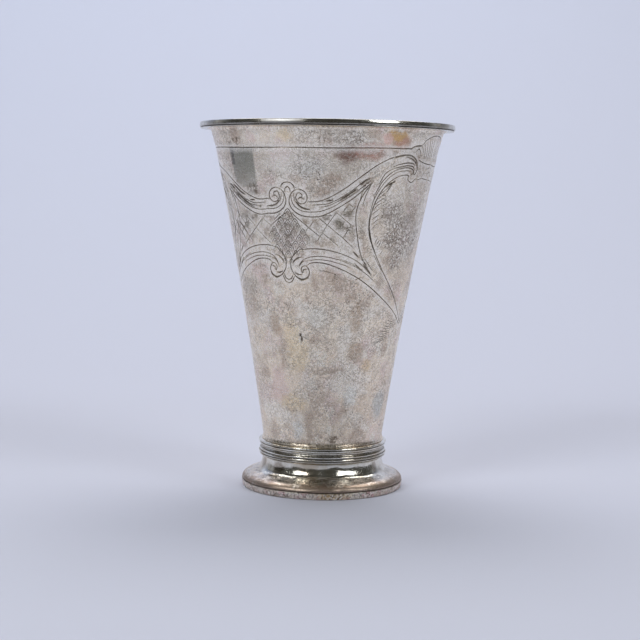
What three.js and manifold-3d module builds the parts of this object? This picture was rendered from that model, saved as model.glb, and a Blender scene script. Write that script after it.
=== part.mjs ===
// Silver beaker: a raised, tapering cup with a half-round wire at its lip, standing on a turned
// foot with two reeded beads and a flat wire round its base.
// Millimetres, +Z up, origin at the middle of the foot's underside, photographed side toward -Y.
import * as THREE from "three";
import { mergeVertices } from "three/addons/utils/BufferGeometryUtils.js";
import Module from "manifold-3d";

// Driving dimensions
const TOTAL_HEIGHT = 150;
const SIDES = 40; // flats round every turned piece

const FOOT_RADIUS = 33.6; // widest part of the foot, at the top of its base wire
const FOOT_WIRE_HEIGHT = 2.85;
const FOOT_WIRE_LOWER_RADIUS = 33.2;
const FOOT_WIRE_THICKNESS = 1.6;
const WIRE_EDGE = 0.2; // worn edge of the base wire
const SEAM_INSET = 0.25; // both edges draw in to the line between dome and wire
const FOOT_WALL = 0.9;
const DOME_POINTS = [
  [33.4, 3.6],
  [32.7, 4.7],
  [31.2, 5.6],
  [28.2, 6.75],
  [26.4, 7.8],
  [25.4, 9.2],
];
const HOLLOW_POINTS = [
  [25.0, 7.6],
  [29.2, 5.3],
]; // underside of the dome
const NECK_RADIUS = 25.0;
const NECK_HEIGHT = 11.0; // where the foot is narrowest
const SHOULDER_RADIUS = 25.25; // just below the lower bead
const SHOULDER_HEIGHT = 12.4;
const BEAD_RADIUS = 26.6; // both reeded beads
const LOWER_BEAD_HEIGHT = 14.5;
const UPPER_BEAD_HEIGHT = 19.0;
const BEAD_HALF_HEIGHT = 0.55;
const REED_RADIUS = 26.2; // the thin reeds beside each bead
const REED_HEIGHT = 0.6;
const GROOVE_RADIUS = 25.9; // bottom of the lines between bead and reeds
const LINE_HALF_WIDTH = 0.1; // of the lines between bead and reeds
const CHANNEL_RADIUS = 25.35; // hollow between the two beads
const FOOT_TOP = 19.7; // the cup stands on the foot here

const CUP_WALL = 0.85;
const CUP_FLOOR = 1.1;
const FLOOR_CURVE = 2.4; // the corner between floor and wall inside
const FLOOR_CURVE_TOP = 24;
const CUP_BASE_RADIUS = 25.3;
const CUP_WAIST_RADIUS = 24.85;
const CUP_WAIST_HEIGHT = 22.0;
const CUP_NECK_RADIUS = 46.0; // where the wall starts to turn out to the lip
const CUP_NECK_HEIGHT = 141.0;
const CUP_HOLLOW = 1.1; // how far the wall is drawn in from a straight cone at mid height
const CUP_WALL_STEPS = 4;
const LIP_TURN_RADIUS = 47.4; // where the wall turns out sharply, just below the lip
const LIP_TURN_HEIGHT = 145.6;
const LIP_RADIUS = 49.3; // outside of the upright lip, under the wire
const LIP_FOOT_HEIGHT = 147.4;

const RIM_RADIUS = 52.1;
const RIM_SWELL = 0.9; // how far the half-round stands out
const RIM_STEPS = 4;
const RIM_FILLET_HEIGHT = 0.5; // thin fillet along the lower edge of the rim wire
const RIM_FILLET_RADIUS = 51.7;

// The engraved ornament is one half, mirrored about an upright axis between paired volutes and
// repeated on the far side. A point is [turn, height]: degrees from that axis, and mm up. The
// cartouches stand at a turn of 90. Each curve is a cubic through its first and last point.
const VOLUTE_AXIS = -21.3; // degrees round from the photographed side, to its left
const HAND_SLANT = 0.0759; // degrees that the volute axis leans for each mm above its eyes
const SLANT_HEIGHT = 120;
const CUT_WIDTH = 0.8;
const CUT_DEPTH = 0.25;
const END_FADE = 0.4; // share of width and depth left where a stroke ends
const CUT_ABOVE = 0.3; // how far a cutter stands out of the wall
const STROKE_STEP = 9; // most degrees that one straight piece of a stroke spans
const TOP_LINE = [[0, 139.2], [23, 139.2], [45, 139.5], [68, 139.7]];
const UPPER_BAND_TOP = [[10.9, 118.4], [32.3, 118.3], [43.1, 137.7], [64.9, 137.2]];
const UPPER_BAND_CURL = [[64.9, 137.2], [79.4, 136.5], [74.8, 127.0], [71.3, 130.6]];
const UPPER_BAND_LOW = [[44.9, 126.3], [34.3, 118.9], [22.4, 112.3], [12.8, 112.7]];
const UPPER_EYE = { at: [8.3, 119.9], turns: -1.0, closing: 0.25 };
const LOWER_BAND_TOP = [[51.8, 90.5], [40.1, 97.8], [25.4, 100.6], [13.6, 100.3]];
const LOWER_EYE = { at: [10.0, 91.6], turns: 1.0, closing: 0.28 };
const LOWER_BAND_LOW = [[14.9, 94.8], [36.4, 95.3], [67.7, 78.1], [90.0, 69.0]];
const CARTOUCHE_HEAD = [[68.1, 129.4], [56.4, 130.0], [48.1, 122.8], [46.7, 112.5]];
const CARTOUCHE_SIDE = [[46.7, 112.5], [46.4, 96.6], [76.0, 81.1], [90.0, 70.4]];
const CARTOUCHE_BACK = [[45.6, 126.5], [31.4, 116.4], [40.1, 98.5], [51.8, 90.5]];
const SHELL_TOP = [[69, 140.2], [75, 141.3], [79, 144.6], [90, 145.0]];
const SHELL_FOOT = [[73, 136.2], [78, 134.6], [84, 134.0], [90, 134.0]];

// Radius of the cup's outside at height z: a cone drawn in a little at mid height.
function cupRadius(z) {
  const t = (z - CUP_WAIST_HEIGHT) / (CUP_NECK_HEIGHT - CUP_WAIST_HEIGHT);
  const cone = CUP_WAIST_RADIUS + (CUP_NECK_RADIUS - CUP_WAIST_RADIUS) * t;
  return cone - 4 * CUP_HOLLOW * t * (1 - t);
}

// Heights from low to high in equal steps, both ends included.
function stepsBetween(low, high, count) {
  return Array.from({ length: count + 1 }, (_, i) => low + ((high - low) * i) / count);
}

// Profile of a round bead: an arc from its lower to its upper line.
function bead(height, steps) {
  const points = [];
  for (let i = 0; i <= steps; i++) {
    const turn = Math.PI * (i / steps - 0.5);
    const out = (BEAD_RADIUS - GROOVE_RADIUS) * Math.cos(turn);
    points.push([GROOVE_RADIUS + out, height + BEAD_HALF_HEIGHT * Math.sin(turn)]);
  }
  return points;
}

// Profile of a thin flat reed that starts at height z.
function reed(z) {
  return [
    [REED_RADIUS, z + LINE_HALF_WIDTH],
    [REED_RADIUS, z + REED_HEIGHT - LINE_HALF_WIDTH],
  ];
}

// Turns a list of [radius, height] round the Z axis: outside upward, inside downward.
function turned(profile) {
  const points = profile.map(([radius, height]) => new THREE.Vector2(radius, height));
  return new THREE.LatheGeometry(points, SIDES).rotateX(Math.PI / 2);
}

// The plain cup: floor, raised wall, lip turned out and up, and the same line inside.
function plainCupGeometry() {
  const wall = stepsBetween(CUP_WAIST_HEIGHT, CUP_NECK_HEIGHT, CUP_WALL_STEPS);
  const outside = [
    [0, FOOT_TOP],
    [CUP_BASE_RADIUS, FOOT_TOP],
    ...wall.map((z) => [cupRadius(z), z]),
    [LIP_TURN_RADIUS, LIP_TURN_HEIGHT],
    [LIP_RADIUS, LIP_FOOT_HEIGHT],
    [LIP_RADIUS, TOTAL_HEIGHT],
  ];
  const floorTop = FOOT_TOP + CUP_FLOOR;
  const inside = [
    [LIP_RADIUS - CUP_WALL, TOTAL_HEIGHT],
    [LIP_RADIUS - CUP_WALL, LIP_FOOT_HEIGHT + 0.4],
    [LIP_TURN_RADIUS - CUP_WALL, LIP_TURN_HEIGHT + 0.3],
    [cupRadius(CUP_NECK_HEIGHT) - CUP_WALL, CUP_NECK_HEIGHT],
    ...stepsBetween(FLOOR_CURVE_TOP, 101, 2).reverse().map((z) => [cupRadius(z) - CUP_WALL, z]),
    [cupRadius(FLOOR_CURVE_TOP) - CUP_WALL - FLOOR_CURVE, floorTop],
    [0, floorTop],
  ];
  return turned([...outside, ...inside]);
}

// Points along a cubic curve from its four [turn, height] points. A step spans few degrees, so
// that its straight cutter doesn't run under the round wall.
function cubic([a, b, c, d], fewest = 3) {
  const steps = Math.max(fewest, Math.ceil(Math.abs(d[0] - a[0]) / STROKE_STEP));
  const curve = new THREE.CubicBezierCurve(
    new THREE.Vector2(...a),
    new THREE.Vector2(...b),
    new THREE.Vector2(...c),
    new THREE.Vector2(...d),
  );
  return curve.getPoints(steps).map((p) => [p.x, p.y]);
}

// Points of a spiral that winds from [turn, height] in toward an eye, shrinking steadily.
function spiral([turn, height], { at, turns, closing }, steps) {
  const mmPerDegree = (cupRadius(at[1]) * Math.PI) / 180;
  const across = (turn - at[0]) * mmPerDegree;
  const up = height - at[1];
  const reach = Math.hypot(across, up);
  const start = Math.atan2(up, across);
  const points = [];
  for (let i = 1; i <= steps; i++) {
    const swing = (turns * 2 * Math.PI * i) / steps;
    const radius = reach * Math.exp(-closing * Math.abs(swing));
    const angle = start + swing;
    points.push([
      at[0] + (radius * Math.cos(angle)) / mmPerDegree,
      at[1] + radius * Math.sin(angle),
    ]);
  }
  return points;
}

// The strokes of one half of the ornament.
function halfOrnament() {
  const upperLow = cubic(UPPER_BAND_LOW);
  const lowerTop = cubic(LOWER_BAND_TOP);
  return [
    cubic(TOP_LINE),
    [...cubic(UPPER_BAND_TOP), ...cubic(UPPER_BAND_CURL, 4).slice(1)],
    [...upperLow, ...spiral(upperLow.at(-1), UPPER_EYE, 8)],
    [...lowerTop, ...spiral(lowerTop.at(-1), LOWER_EYE, 8)],
    cubic(LOWER_BAND_LOW),
    [...cubic(CARTOUCHE_HEAD, 4), ...cubic(CARTOUCHE_SIDE, 5).slice(1)],
    cubic(CARTOUCHE_BACK, 5),
    cubic(SHELL_TOP),
    cubic(SHELL_FOOT),
  ];
}

// A place on the cup's many-sided outside, a little out from it or into it.
function onCup(turn, height, out) {
  const flat = (2 * Math.PI) / SIDES;
  const angle = (turn * Math.PI) / 180;
  const offMiddle = angle - flat * (Math.floor(angle / flat) + 0.5);
  const radius = (cupRadius(height) * Math.cos(flat / 2)) / Math.cos(offMiddle) + out;
  return [radius * Math.sin(angle), -radius * Math.cos(angle), height];
}

// A long three-sided cutter that leaves a V-shaped groove along a stroke.
function cutter(stroke) {
  const positions = [];
  const last = stroke.length - 1;
  stroke.forEach(([turn, height], i) => {
    const [turn0, height0] = stroke[Math.max(i - 1, 0)];
    const [turn1, height1] = stroke[Math.min(i + 1, last)];
    const mmPerDegree = (cupRadius(height) * Math.PI) / 180;
    const across = (turn1 - turn0) * mmPerDegree;
    const up = height1 - height0;
    const length = Math.hypot(across, up);
    const fade = i === 0 || i === last ? END_FADE : 1;
    const half = (fade * CUT_WIDTH * (CUT_DEPTH + CUT_ABOVE)) / (2 * CUT_DEPTH);
    const sideTurn = (-up / length) * (half / mmPerDegree);
    const sideHeight = (across / length) * half;
    positions.push(
      ...onCup(turn + sideTurn, height + sideHeight, CUT_ABOVE),
      ...onCup(turn - sideTurn, height - sideHeight, CUT_ABOVE),
      ...onCup(turn, height, -fade * CUT_DEPTH),
    );
  });
  const faces = [0, 2, 1];
  for (let i = 0; i < last; i++) {
    for (let k = 0; k < 3; k++) {
      const here = 3 * i + k;
      const beside = 3 * i + ((k + 1) % 3);
      faces.push(here, beside, here + 3, beside, beside + 3, here + 3);
    }
  }
  faces.push(3 * last, 3 * last + 1, 3 * last + 2);
  const geometry = new THREE.BufferGeometry();
  geometry.setAttribute("position", new THREE.Float32BufferAttribute(positions, 3));
  geometry.setIndex(faces);
  return geometry;
}

const wasm = await Module();
wasm.setup();

// A closed geometry as a solid that can be cut.
function solid(geometry) {
  const bare = geometry.clone();
  bare.deleteAttribute("normal");
  bare.deleteAttribute("uv");
  const merged = mergeVertices(bare, 1e-3);
  return new wasm.Manifold(
    new wasm.Mesh({
      numProp: 3,
      vertProperties: new Float32Array(merged.attributes.position.array),
      triVerts: new Uint32Array(merged.index.array),
    }),
  );
}

// The cup with the ornament's main strokes cut into its wall.
function cupGeometry() {
  let cup = solid(plainCupGeometry());
  for (const side of [0, 180]) {
    for (const hand of [1, -1]) {
      for (const stroke of halfOrnament()) {
        const placed = stroke.map(([turn, height]) => {
          const slant = HAND_SLANT * (height - SLANT_HEIGHT) * (1 - turn / 90);
          return [side + VOLUTE_AXIS + hand * turn + slant, height];
        });
        cup = cup.subtract(solid(cutter(placed)));
      }
    }
  }
  // Crumbs stay where two grooves run together, and are left out.
  const [whole] = cup.decompose().sort((a, b) => b.volume() - a.volume());
  const mesh = whole.getMesh();
  const geometry = new THREE.BufferGeometry();
  geometry.setAttribute("position", new THREE.BufferAttribute(mesh.vertProperties, 3));
  geometry.setIndex(new THREE.BufferAttribute(mesh.triVerts, 1));
  geometry.computeVertexNormals();
  return geometry;
}

// The rim wire: a half-round moulding with a thin fillet below, sleeved over the upright lip.
function rimGeometry() {
  const filletTop = LIP_FOOT_HEIGHT + RIM_FILLET_HEIGHT;
  const half = (TOTAL_HEIGHT - filletTop) / 2;
  const middle = filletTop + half;
  const round = [];
  for (let i = 0; i <= RIM_STEPS; i++) {
    const turn = Math.PI * (i / RIM_STEPS - 0.5);
    round.push([
      RIM_RADIUS - RIM_SWELL + RIM_SWELL * Math.cos(turn),
      middle + half * Math.sin(turn),
    ]);
  }
  return turned([
    [LIP_RADIUS, LIP_FOOT_HEIGHT],
    [RIM_FILLET_RADIUS, LIP_FOOT_HEIGHT],
    [RIM_FILLET_RADIUS, filletTop - LINE_HALF_WIDTH],
    ...round,
    [LIP_RADIUS, TOTAL_HEIGHT],
    [LIP_RADIUS, LIP_FOOT_HEIGHT],
  ]);
}

// The foot: a convex dome drawn up to a neck, a beaded collar above, and a hollow beneath.
function footGeometry() {
  const dome = [
    [FOOT_RADIUS - SEAM_INSET, FOOT_WIRE_HEIGHT],
    ...DOME_POINTS,
    [NECK_RADIUS, NECK_HEIGHT],
  ];
  const lowerReed = LOWER_BEAD_HEIGHT - BEAD_HALF_HEIGHT - REED_HEIGHT;
  const middleReed = LOWER_BEAD_HEIGHT + BEAD_HALF_HEIGHT + LINE_HALF_WIDTH / 2;
  const upperReed = UPPER_BEAD_HEIGHT - BEAD_HALF_HEIGHT - REED_HEIGHT;
  const collar = [
    [SHOULDER_RADIUS, SHOULDER_HEIGHT],
    ...reed(lowerReed),
    ...bead(LOWER_BEAD_HEIGHT, 3),
    ...reed(middleReed),
    [CHANNEL_RADIUS, (middleReed + REED_HEIGHT + upperReed) / 2],
    ...reed(upperReed),
    ...bead(UPPER_BEAD_HEIGHT, 3),
    [CUP_BASE_RADIUS, FOOT_TOP],
  ];
  const inside = [
    [NECK_RADIUS - FOOT_WALL, FOOT_TOP],
    [NECK_RADIUS - FOOT_WALL, NECK_HEIGHT],
    ...HOLLOW_POINTS,
    [FOOT_RADIUS - FOOT_WIRE_THICKNESS, FOOT_WIRE_HEIGHT],
    [FOOT_RADIUS - SEAM_INSET, FOOT_WIRE_HEIGHT],
  ];
  return turned([...dome, ...collar, ...inside]);
}

// The base wire: a flat band that the foot's edge stands on.
function footWireGeometry() {
  const inner = FOOT_RADIUS - FOOT_WIRE_THICKNESS;
  return turned([
    [inner, 0],
    [FOOT_WIRE_LOWER_RADIUS - WIRE_EDGE, 0],
    [FOOT_WIRE_LOWER_RADIUS, WIRE_EDGE],
    [FOOT_RADIUS, FOOT_WIRE_HEIGHT - 2 * WIRE_EDGE],
    [FOOT_RADIUS - SEAM_INSET, FOOT_WIRE_HEIGHT],
    [inner, FOOT_WIRE_HEIGHT],
    [inner, 0],
  ]);
}

// A named piece in its own silver finish.
function piece(name, geometry, color, roughness) {
  const material = new THREE.MeshStandardMaterial({ color, roughness, metalness: 1 });
  const mesh = new THREE.Mesh(geometry, material);
  mesh.name = name;
  return mesh;
}

const beaker = new THREE.Group();
beaker.add(piece("cup_body", cupGeometry(), 0xb3aca4, 0.38));
beaker.add(piece("rim_wire", rimGeometry(), 0xc8c5c0, 0.18));
beaker.add(piece("foot", footGeometry(), 0xb8aea4, 0.25));
beaker.add(piece("foot_wire", footWireGeometry(), 0xa89a8e, 0.4));

export default beaker;
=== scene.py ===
import math

import bpy
import numpy as np
from mathutils import Matrix, Vector
from mathutils.geometry import delaunay_2d_cdt


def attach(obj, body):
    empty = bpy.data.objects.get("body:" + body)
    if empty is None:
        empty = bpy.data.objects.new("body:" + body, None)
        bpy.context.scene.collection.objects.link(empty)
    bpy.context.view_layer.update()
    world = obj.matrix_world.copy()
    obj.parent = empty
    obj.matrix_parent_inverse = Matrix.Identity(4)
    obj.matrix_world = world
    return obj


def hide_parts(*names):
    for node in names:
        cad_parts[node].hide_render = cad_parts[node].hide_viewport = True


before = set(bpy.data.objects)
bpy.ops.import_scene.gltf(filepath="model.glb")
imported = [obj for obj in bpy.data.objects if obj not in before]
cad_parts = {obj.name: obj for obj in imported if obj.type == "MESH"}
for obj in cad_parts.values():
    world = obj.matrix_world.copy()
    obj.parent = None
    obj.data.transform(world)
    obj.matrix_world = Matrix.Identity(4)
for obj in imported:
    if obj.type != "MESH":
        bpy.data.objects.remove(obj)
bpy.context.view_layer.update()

bpy.context.scene.view_settings.view_transform = "Standard"

# The camera. It stands about 0.6 m in front of the beaker and a little below its rim, looks down by
# five degrees, and leans by one degree about its own line of sight.
CAMERA_PLACE = Vector((-0.0018, -0.5931, 0.125))
CAMERA_DOWN = math.radians(5.39)
CAMERA_LEAN = math.radians(0.93)
CAMERA_LENS = 80.4
CAMERA_SENSOR = 36
camera_data = bpy.data.cameras.new("camera")
camera_data.sensor_width = CAMERA_SENSOR
camera_data.lens = CAMERA_LENS
camera = bpy.data.objects.new("camera", camera_data)
bpy.context.scene.collection.objects.link(camera)
look = Matrix.Rotation(math.radians(90) - CAMERA_DOWN, 4, "X")
lean = Matrix.Rotation(CAMERA_LEAN, 4, "Z")
camera.matrix_world = Matrix.Translation(CAMERA_PLACE) @ look @ lean
bpy.context.scene.camera = camera


# The paper that the beaker stands on: one pale lavender sheet that lies flat, then curves up behind
# the beaker, so that no edge shows. It is matt, with a very faint grain.
PAPER_FRONT = -0.62
PAPER_HALF_WIDTH = 1.6
PAPER_BEND_START = 0.25
PAPER_BEND_RADIUS = 0.8
PAPER_TOP = 1.7
PAPER_BEND_STEPS = 25
PAPER_SIDE_STEPS = 9
PAPER_COLOUR = (0.60, 0.617, 0.712, 1)


def mesh_object(name, points, triangles, normals=None):
    """A mesh object from arrays: points in mm, corner numbers of the triangles, and a normal for each
    point where one is given."""
    mesh = bpy.data.meshes.new(name)
    mesh.vertices.add(len(points))
    mesh.vertices.foreach_set("co", (points / 1000).astype(np.float32).ravel())
    mesh.loops.add(triangles.size)
    mesh.loops.foreach_set("vertex_index", triangles.astype(np.int32).ravel())
    mesh.polygons.add(len(triangles))
    mesh.polygons.foreach_set("loop_start", np.arange(0, triangles.size, 3, dtype=np.int32))
    mesh.update(calc_edges=True)
    mesh.polygons.foreach_set("use_smooth", np.ones(len(triangles), bool))
    if normals is not None:
        mesh.normals_split_custom_set_from_vertices(normals.tolist())
    made = bpy.data.objects.new(name, mesh)
    bpy.context.scene.collection.objects.link(made)
    return made


def grid_triangles(rows, columns):
    """Corner numbers for a grid of points stored row after row: two triangles for each cell, which
    turn from the first column toward the second as the rows go up."""
    corner = (np.arange(rows - 1)[:, None] * columns + np.arange(columns - 1)).ravel()
    low = np.stack([corner, corner + 1, corner + columns + 1], -1)
    high = np.stack([corner, corner + columns + 1, corner + columns], -1)
    return np.concatenate([low, high])


def add_node(tree, kind, settings, values):
    """A new shader node. Settings are its own choices; values are its inputs, by name or number, and
    one that is an output of another node is linked."""
    made = tree.nodes.new(kind)
    for key, value in settings.items():
        setattr(made, key, value)
    for key, value in values.items():
        if isinstance(value, bpy.types.NodeSocket):
            tree.links.new(value, made.inputs[key])
        else:
            made.inputs[key].default_value = value
    return made


def bumped(tree, height, strength, distance, **under):
    """Fine relief: a height, how strongly it counts and how high it stands, in metres. Relief that it
    lies on can be given as Normal."""
    values = {"Height": height, "Strength": strength, "Distance": distance}
    return add_node(tree, "ShaderNodeBump", {}, values | under).outputs["Normal"]


def new_material(name, settings):
    """A material with one Principled shader, its plain numbers set on the shader itself."""
    material = bpy.data.materials.new(name)
    material.use_nodes = True
    shader = material.node_tree.nodes["Principled BSDF"]
    for key, value in settings.items():
        shader.inputs[key].default_value = value
    return material, material.node_tree, shader


def paper_sheet():
    """The sheet as a profile carried sideways: flat, then a quarter circle, then upright."""
    turn = np.linspace(0, math.pi / 2, PAPER_BEND_STEPS)
    back = np.concatenate([[PAPER_FRONT, 0], PAPER_BEND_START + PAPER_BEND_RADIUS * np.sin(turn)])
    up = np.concatenate([[0, 0], PAPER_BEND_RADIUS * (1 - np.cos(turn))])
    back = np.append(back, back[-1])
    up = np.append(up, PAPER_TOP)
    side = np.linspace(-PAPER_HALF_WIDTH, PAPER_HALF_WIDTH, PAPER_SIDE_STEPS)
    shape = (len(back), len(side))
    across = np.broadcast_to(side, shape)
    points = np.stack([across, np.broadcast_to(back[:, None], shape),
                       np.broadcast_to(up[:, None], shape)], -1)
    return points.reshape(-1, 3) * 1000, grid_triangles(*shape)


paper = mesh_object("paper_sheet", *paper_sheet())
paper_material, tree, shader = new_material("matt_paper", {"Base Color": PAPER_COLOUR,
                                                          "Roughness": 0.85,
                                                          "Specular IOR Level": 0.2})
place = add_node(tree, "ShaderNodeTexCoord", {}, {}).outputs["Object"]
grain = add_node(tree, "ShaderNodeTexNoise", {}, {"Vector": place, "Scale": 900, "Detail": 3})
tree.links.new(bumped(tree, grain.outputs["Fac"], 0.1, 0.0001), shader.inputs["Normal"])
paper.data.materials.append(paper_material)


# The light: two soft boxes in front, left and right, a soft panel overhead towards the back, and a
# room that is dark behind the camera and pale at the sides and back. Polished silver shows them all.
DARK_ROOM = (0.050, 0.050, 0.046, 1)
PALE_ROOM = (0.42, 0.43, 0.46, 1)
BEAKER_MIDDLE = (0, 0, 0.075)
BOX_SIZE = (0.34, 0.38)
BOX_COLOUR = (0.94, 0.97, 1.0)


def mixed(tree, mask, under, over):
    """Colour under, with colour over laid on it as much as the mask says."""
    return add_node(tree, "ShaderNodeMix", {"data_type": "RGBA"},
                    {0: mask, 6: under, 7: over}).outputs[2]


def figure(tree, operation, *values):
    """One step of arithmetic on numbers."""
    return add_node(tree, "ShaderNodeMath", {"operation": operation},
                    dict(enumerate(values))).outputs[0]


def ramped(tree, value, low, high, least=0.0, most=1.0):
    """The value, eased from least at low to most at high."""
    return add_node(tree, "ShaderNodeMapRange", {"interpolation_type": "SMOOTHSTEP"},
                    {"Value": value, "From Min": low, "From Max": high, "To Min": least,
                     "To Max": most}).outputs["Result"]


room = bpy.data.worlds.new("studio_room")
room.use_nodes = True
tree = room.node_tree
way = add_node(tree, "ShaderNodeTexCoord", {}, {}).outputs["Generated"]
sides = add_node(tree, "ShaderNodeSeparateXYZ", {}, {"Vector": way}).outputs
behind = ramped(tree, sides["Y"], 0.15, 0.55)
low_down = ramped(tree, sides["Z"], 0.3, 0.65, 1.0, 0.15)
walls = mixed(tree, figure(tree, "MULTIPLY", behind, low_down), DARK_ROOM, PALE_ROOM)
tree.links.new(walls, tree.nodes["Background"].inputs["Color"])
bpy.context.scene.world = room


def soft_box(name, place, aim, size, power, colour):
    """A rectangular light at a place in metres, facing the point it is aimed at."""
    lamp = bpy.data.lights.new(name, "AREA")
    lamp.shape = "RECTANGLE"
    lamp.size, lamp.size_y = size
    lamp.energy = power
    lamp.color = colour
    made = bpy.data.objects.new(name, lamp)
    made.location = place
    made.rotation_mode = "QUATERNION"
    made.rotation_quaternion = (Vector(place) - Vector(aim)).to_track_quat("Z", "Y")
    bpy.context.scene.collection.objects.link(made)


soft_box("left_soft_box", (-0.585, -0.627, 0.59), BEAKER_MIDDLE, BOX_SIZE, 3.2, BOX_COLOUR)
soft_box("right_soft_box", (0.693, -0.504, 0.59), BEAKER_MIDDLE, BOX_SIZE, 2.4, BOX_COLOUR)
soft_box("overhead_panel", (0, 0.62, 1.35), (0, 0.05, 0), (1.8, 0.8), 17.0, (1, 0.985, 0.97))
soft_box("backdrop_lamp", (-0.5, 0.35, 1.25), (-0.5, 1.05, 1.15), (2.0, 0.4), 6.4, (0.55, 0.72, 1.0))


# The cup. Raised from one sheet of silver into a tall taper that flares to a turned-out lip, then
# engraved by hand with scrolls, a lattice and scales, mirrored between two cartouches, and again on
# the far side. It stands on the foot's collar and is soldered to it.
CUP_FLOOR_HEIGHT = 20.8
CUP_BASE_HEIGHT = 19.7
CUP_BASE_RADIUS = 25.3
WAIST_RADIUS = 24.85
WAIST_HEIGHT = 22.0
NECK_RADIUS = 46.0
NECK_HEIGHT = 141.0
HOLLOW = 0.88
LIP_START = 139.5
LIP_RISE = 5.5
LIP_SWING = 0.42
WALL = 0.85
COLUMNS = 180
PROFILE_STEPS = 24
TURN_START = -111.3
ENGRAVED_LOW = 60.0
ENGRAVED_HIGH = 146.0
VOLUTE_AXIS = -21.3
HAND_SLANT = 0.0759
SLANT_HEIGHT = 120.0
MM_PER_DEGREE = 0.69
STEP = 0.64
MAIN = (0.22, 0.15)
FINE = (0.17, 0.09)
BROAD = (0.36, 0.2)
HATCH = (0.15, 0.075)
BURR_HEIGHT = 0.03
BURR_REACH = 2.5
BURR_FROM = 0.08
GRIME_DEPTH = 0.055

# Every stroke is (tool, points), and a tool is its half width and depth in mm. A point is (degrees
# from the axis between the volutes, height). The cartouches stand at 90 degrees.
BANDS = [
    (MAIN, [(44.9, 126.3), (36.3, 120.6), (27.5, 116.2), (19.7, 113.3), (12.8, 112.7), (6.8, 113.5),
        (2.3, 116), (0.9, 119), (2.7, 122.2), (6.6, 123.3), (10, 121.9), (10.9, 119.6), (9.2, 117.8),
        (6.4, 118), (4.7, 120), (5.8, 121.9), (8, 121.3), (7.9, 120)]),
    (MAIN, [(10.9, 118.4), (19.3, 119.2), (29.1, 123.1), (37.9, 128.1), (46.8, 133), (55.8, 136.1),
        (64.9, 137.2), (71.6, 136), (74.9, 132.5), (73.5, 129.8), (71.3, 130.6)]),
    (MAIN, [(51.8, 90.5), (42.3, 95.3), (32.4, 98.3), (22.4, 100), (13.6, 100.3), (6.3, 99.3),
        (2.2, 96.4), (1.7, 92.8), (4.5, 89.6), (8.5, 88.2), (12, 89), (13.3, 91.2), (11.1, 93.5),
        (8.3, 92.7), (8.7, 90.9), (10, 91.2)]),
    (MAIN, [(11.1, 93.5), (14.9, 94.8), (22.7, 94.6), (32.6, 92.3), (42.5, 89.2), (52.4, 85.3),
        (62.2, 81), (72, 77), (81.6, 73), (90, 69.1)]),
    (MAIN, [(75.2, 128.2), (71.7, 126.6), (68.4, 127.7), (68.1, 129.4), (61.1, 128.8), (54.1, 125.5),
        (49.1, 119.9), (46.7, 112.5), (47.8, 106), (53, 98.7), (60, 91.9), (67.9, 86), (75.8, 80.3),
        (83.5, 74.7), (90, 70.4)]),
    (MAIN, [(45.6, 126.5), (41.7, 122.6), (39.1, 118.6), (38, 114.5), (38.6, 110), (40.1, 105.5),
        (41.9, 101), (44.2, 97.3), (47.7, 93.8), (51.8, 90.5)]),
    (MAIN, [(0, 139.2), (23, 139.2), (45, 139.5), (67.5, 139.7)]),
]
UPPER = [
    (FINE, [(1.9, 121.3), (2.5, 118.6), (4.6, 116.4), (8.6, 114.9), (13.6, 114.6), (18.6, 115),
        (24.5, 116.6), (30.3, 119.2), (36.2, 122.2), (42.1, 125.9), (44.2, 127.1)]),
    (FINE, [(13.5, 117.3), (21.4, 117.8), (26.3, 119.3), (31.2, 121.4), (36.1, 124.1), (40, 126.6),
        (43, 127.9)]),
    (FINE, [(18.5, 116.4), (24.4, 117.7), (30.3, 120.3), (35.2, 123)]),
    (FINE, [(3.4, 121.6), (3.9, 119.6), (5, 118.2)]),
    (BROAD, [(12.4, 115.6), (9.6, 115.9), (7, 116.8), (4.8, 118.4)]),
    (BROAD, [(28.8, 119.6), (31.8, 121), (34.2, 122.3), (36.5, 123.5)]),
    (BROAD, [(38.7, 125.4), (41, 127), (43.4, 127.9)]),
    (BROAD, [(21.4, 119), (24.7, 119.4)]),
    (BROAD, [(6, 119.6), (7.3, 120.2), (8.1, 119.9)]),
]
HUSKS = [
    (MAIN, [(0, 126), (2, 125.6), (3.5, 124.4), (3.9, 123.6)]),
    (MAIN, [(0, 124.3), (1.2, 123.6), (1.6, 122.2)]),
    (BROAD, [(2.5, 125.3), (3.4, 124.6), (3.7, 124)]),
    (MAIN, [(0, 86.6), (2.2, 87.2), (4, 89.3)]),
    (MAIN, [(0, 87.9), (1.8, 88.4), (3, 89.9)]),
]
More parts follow.
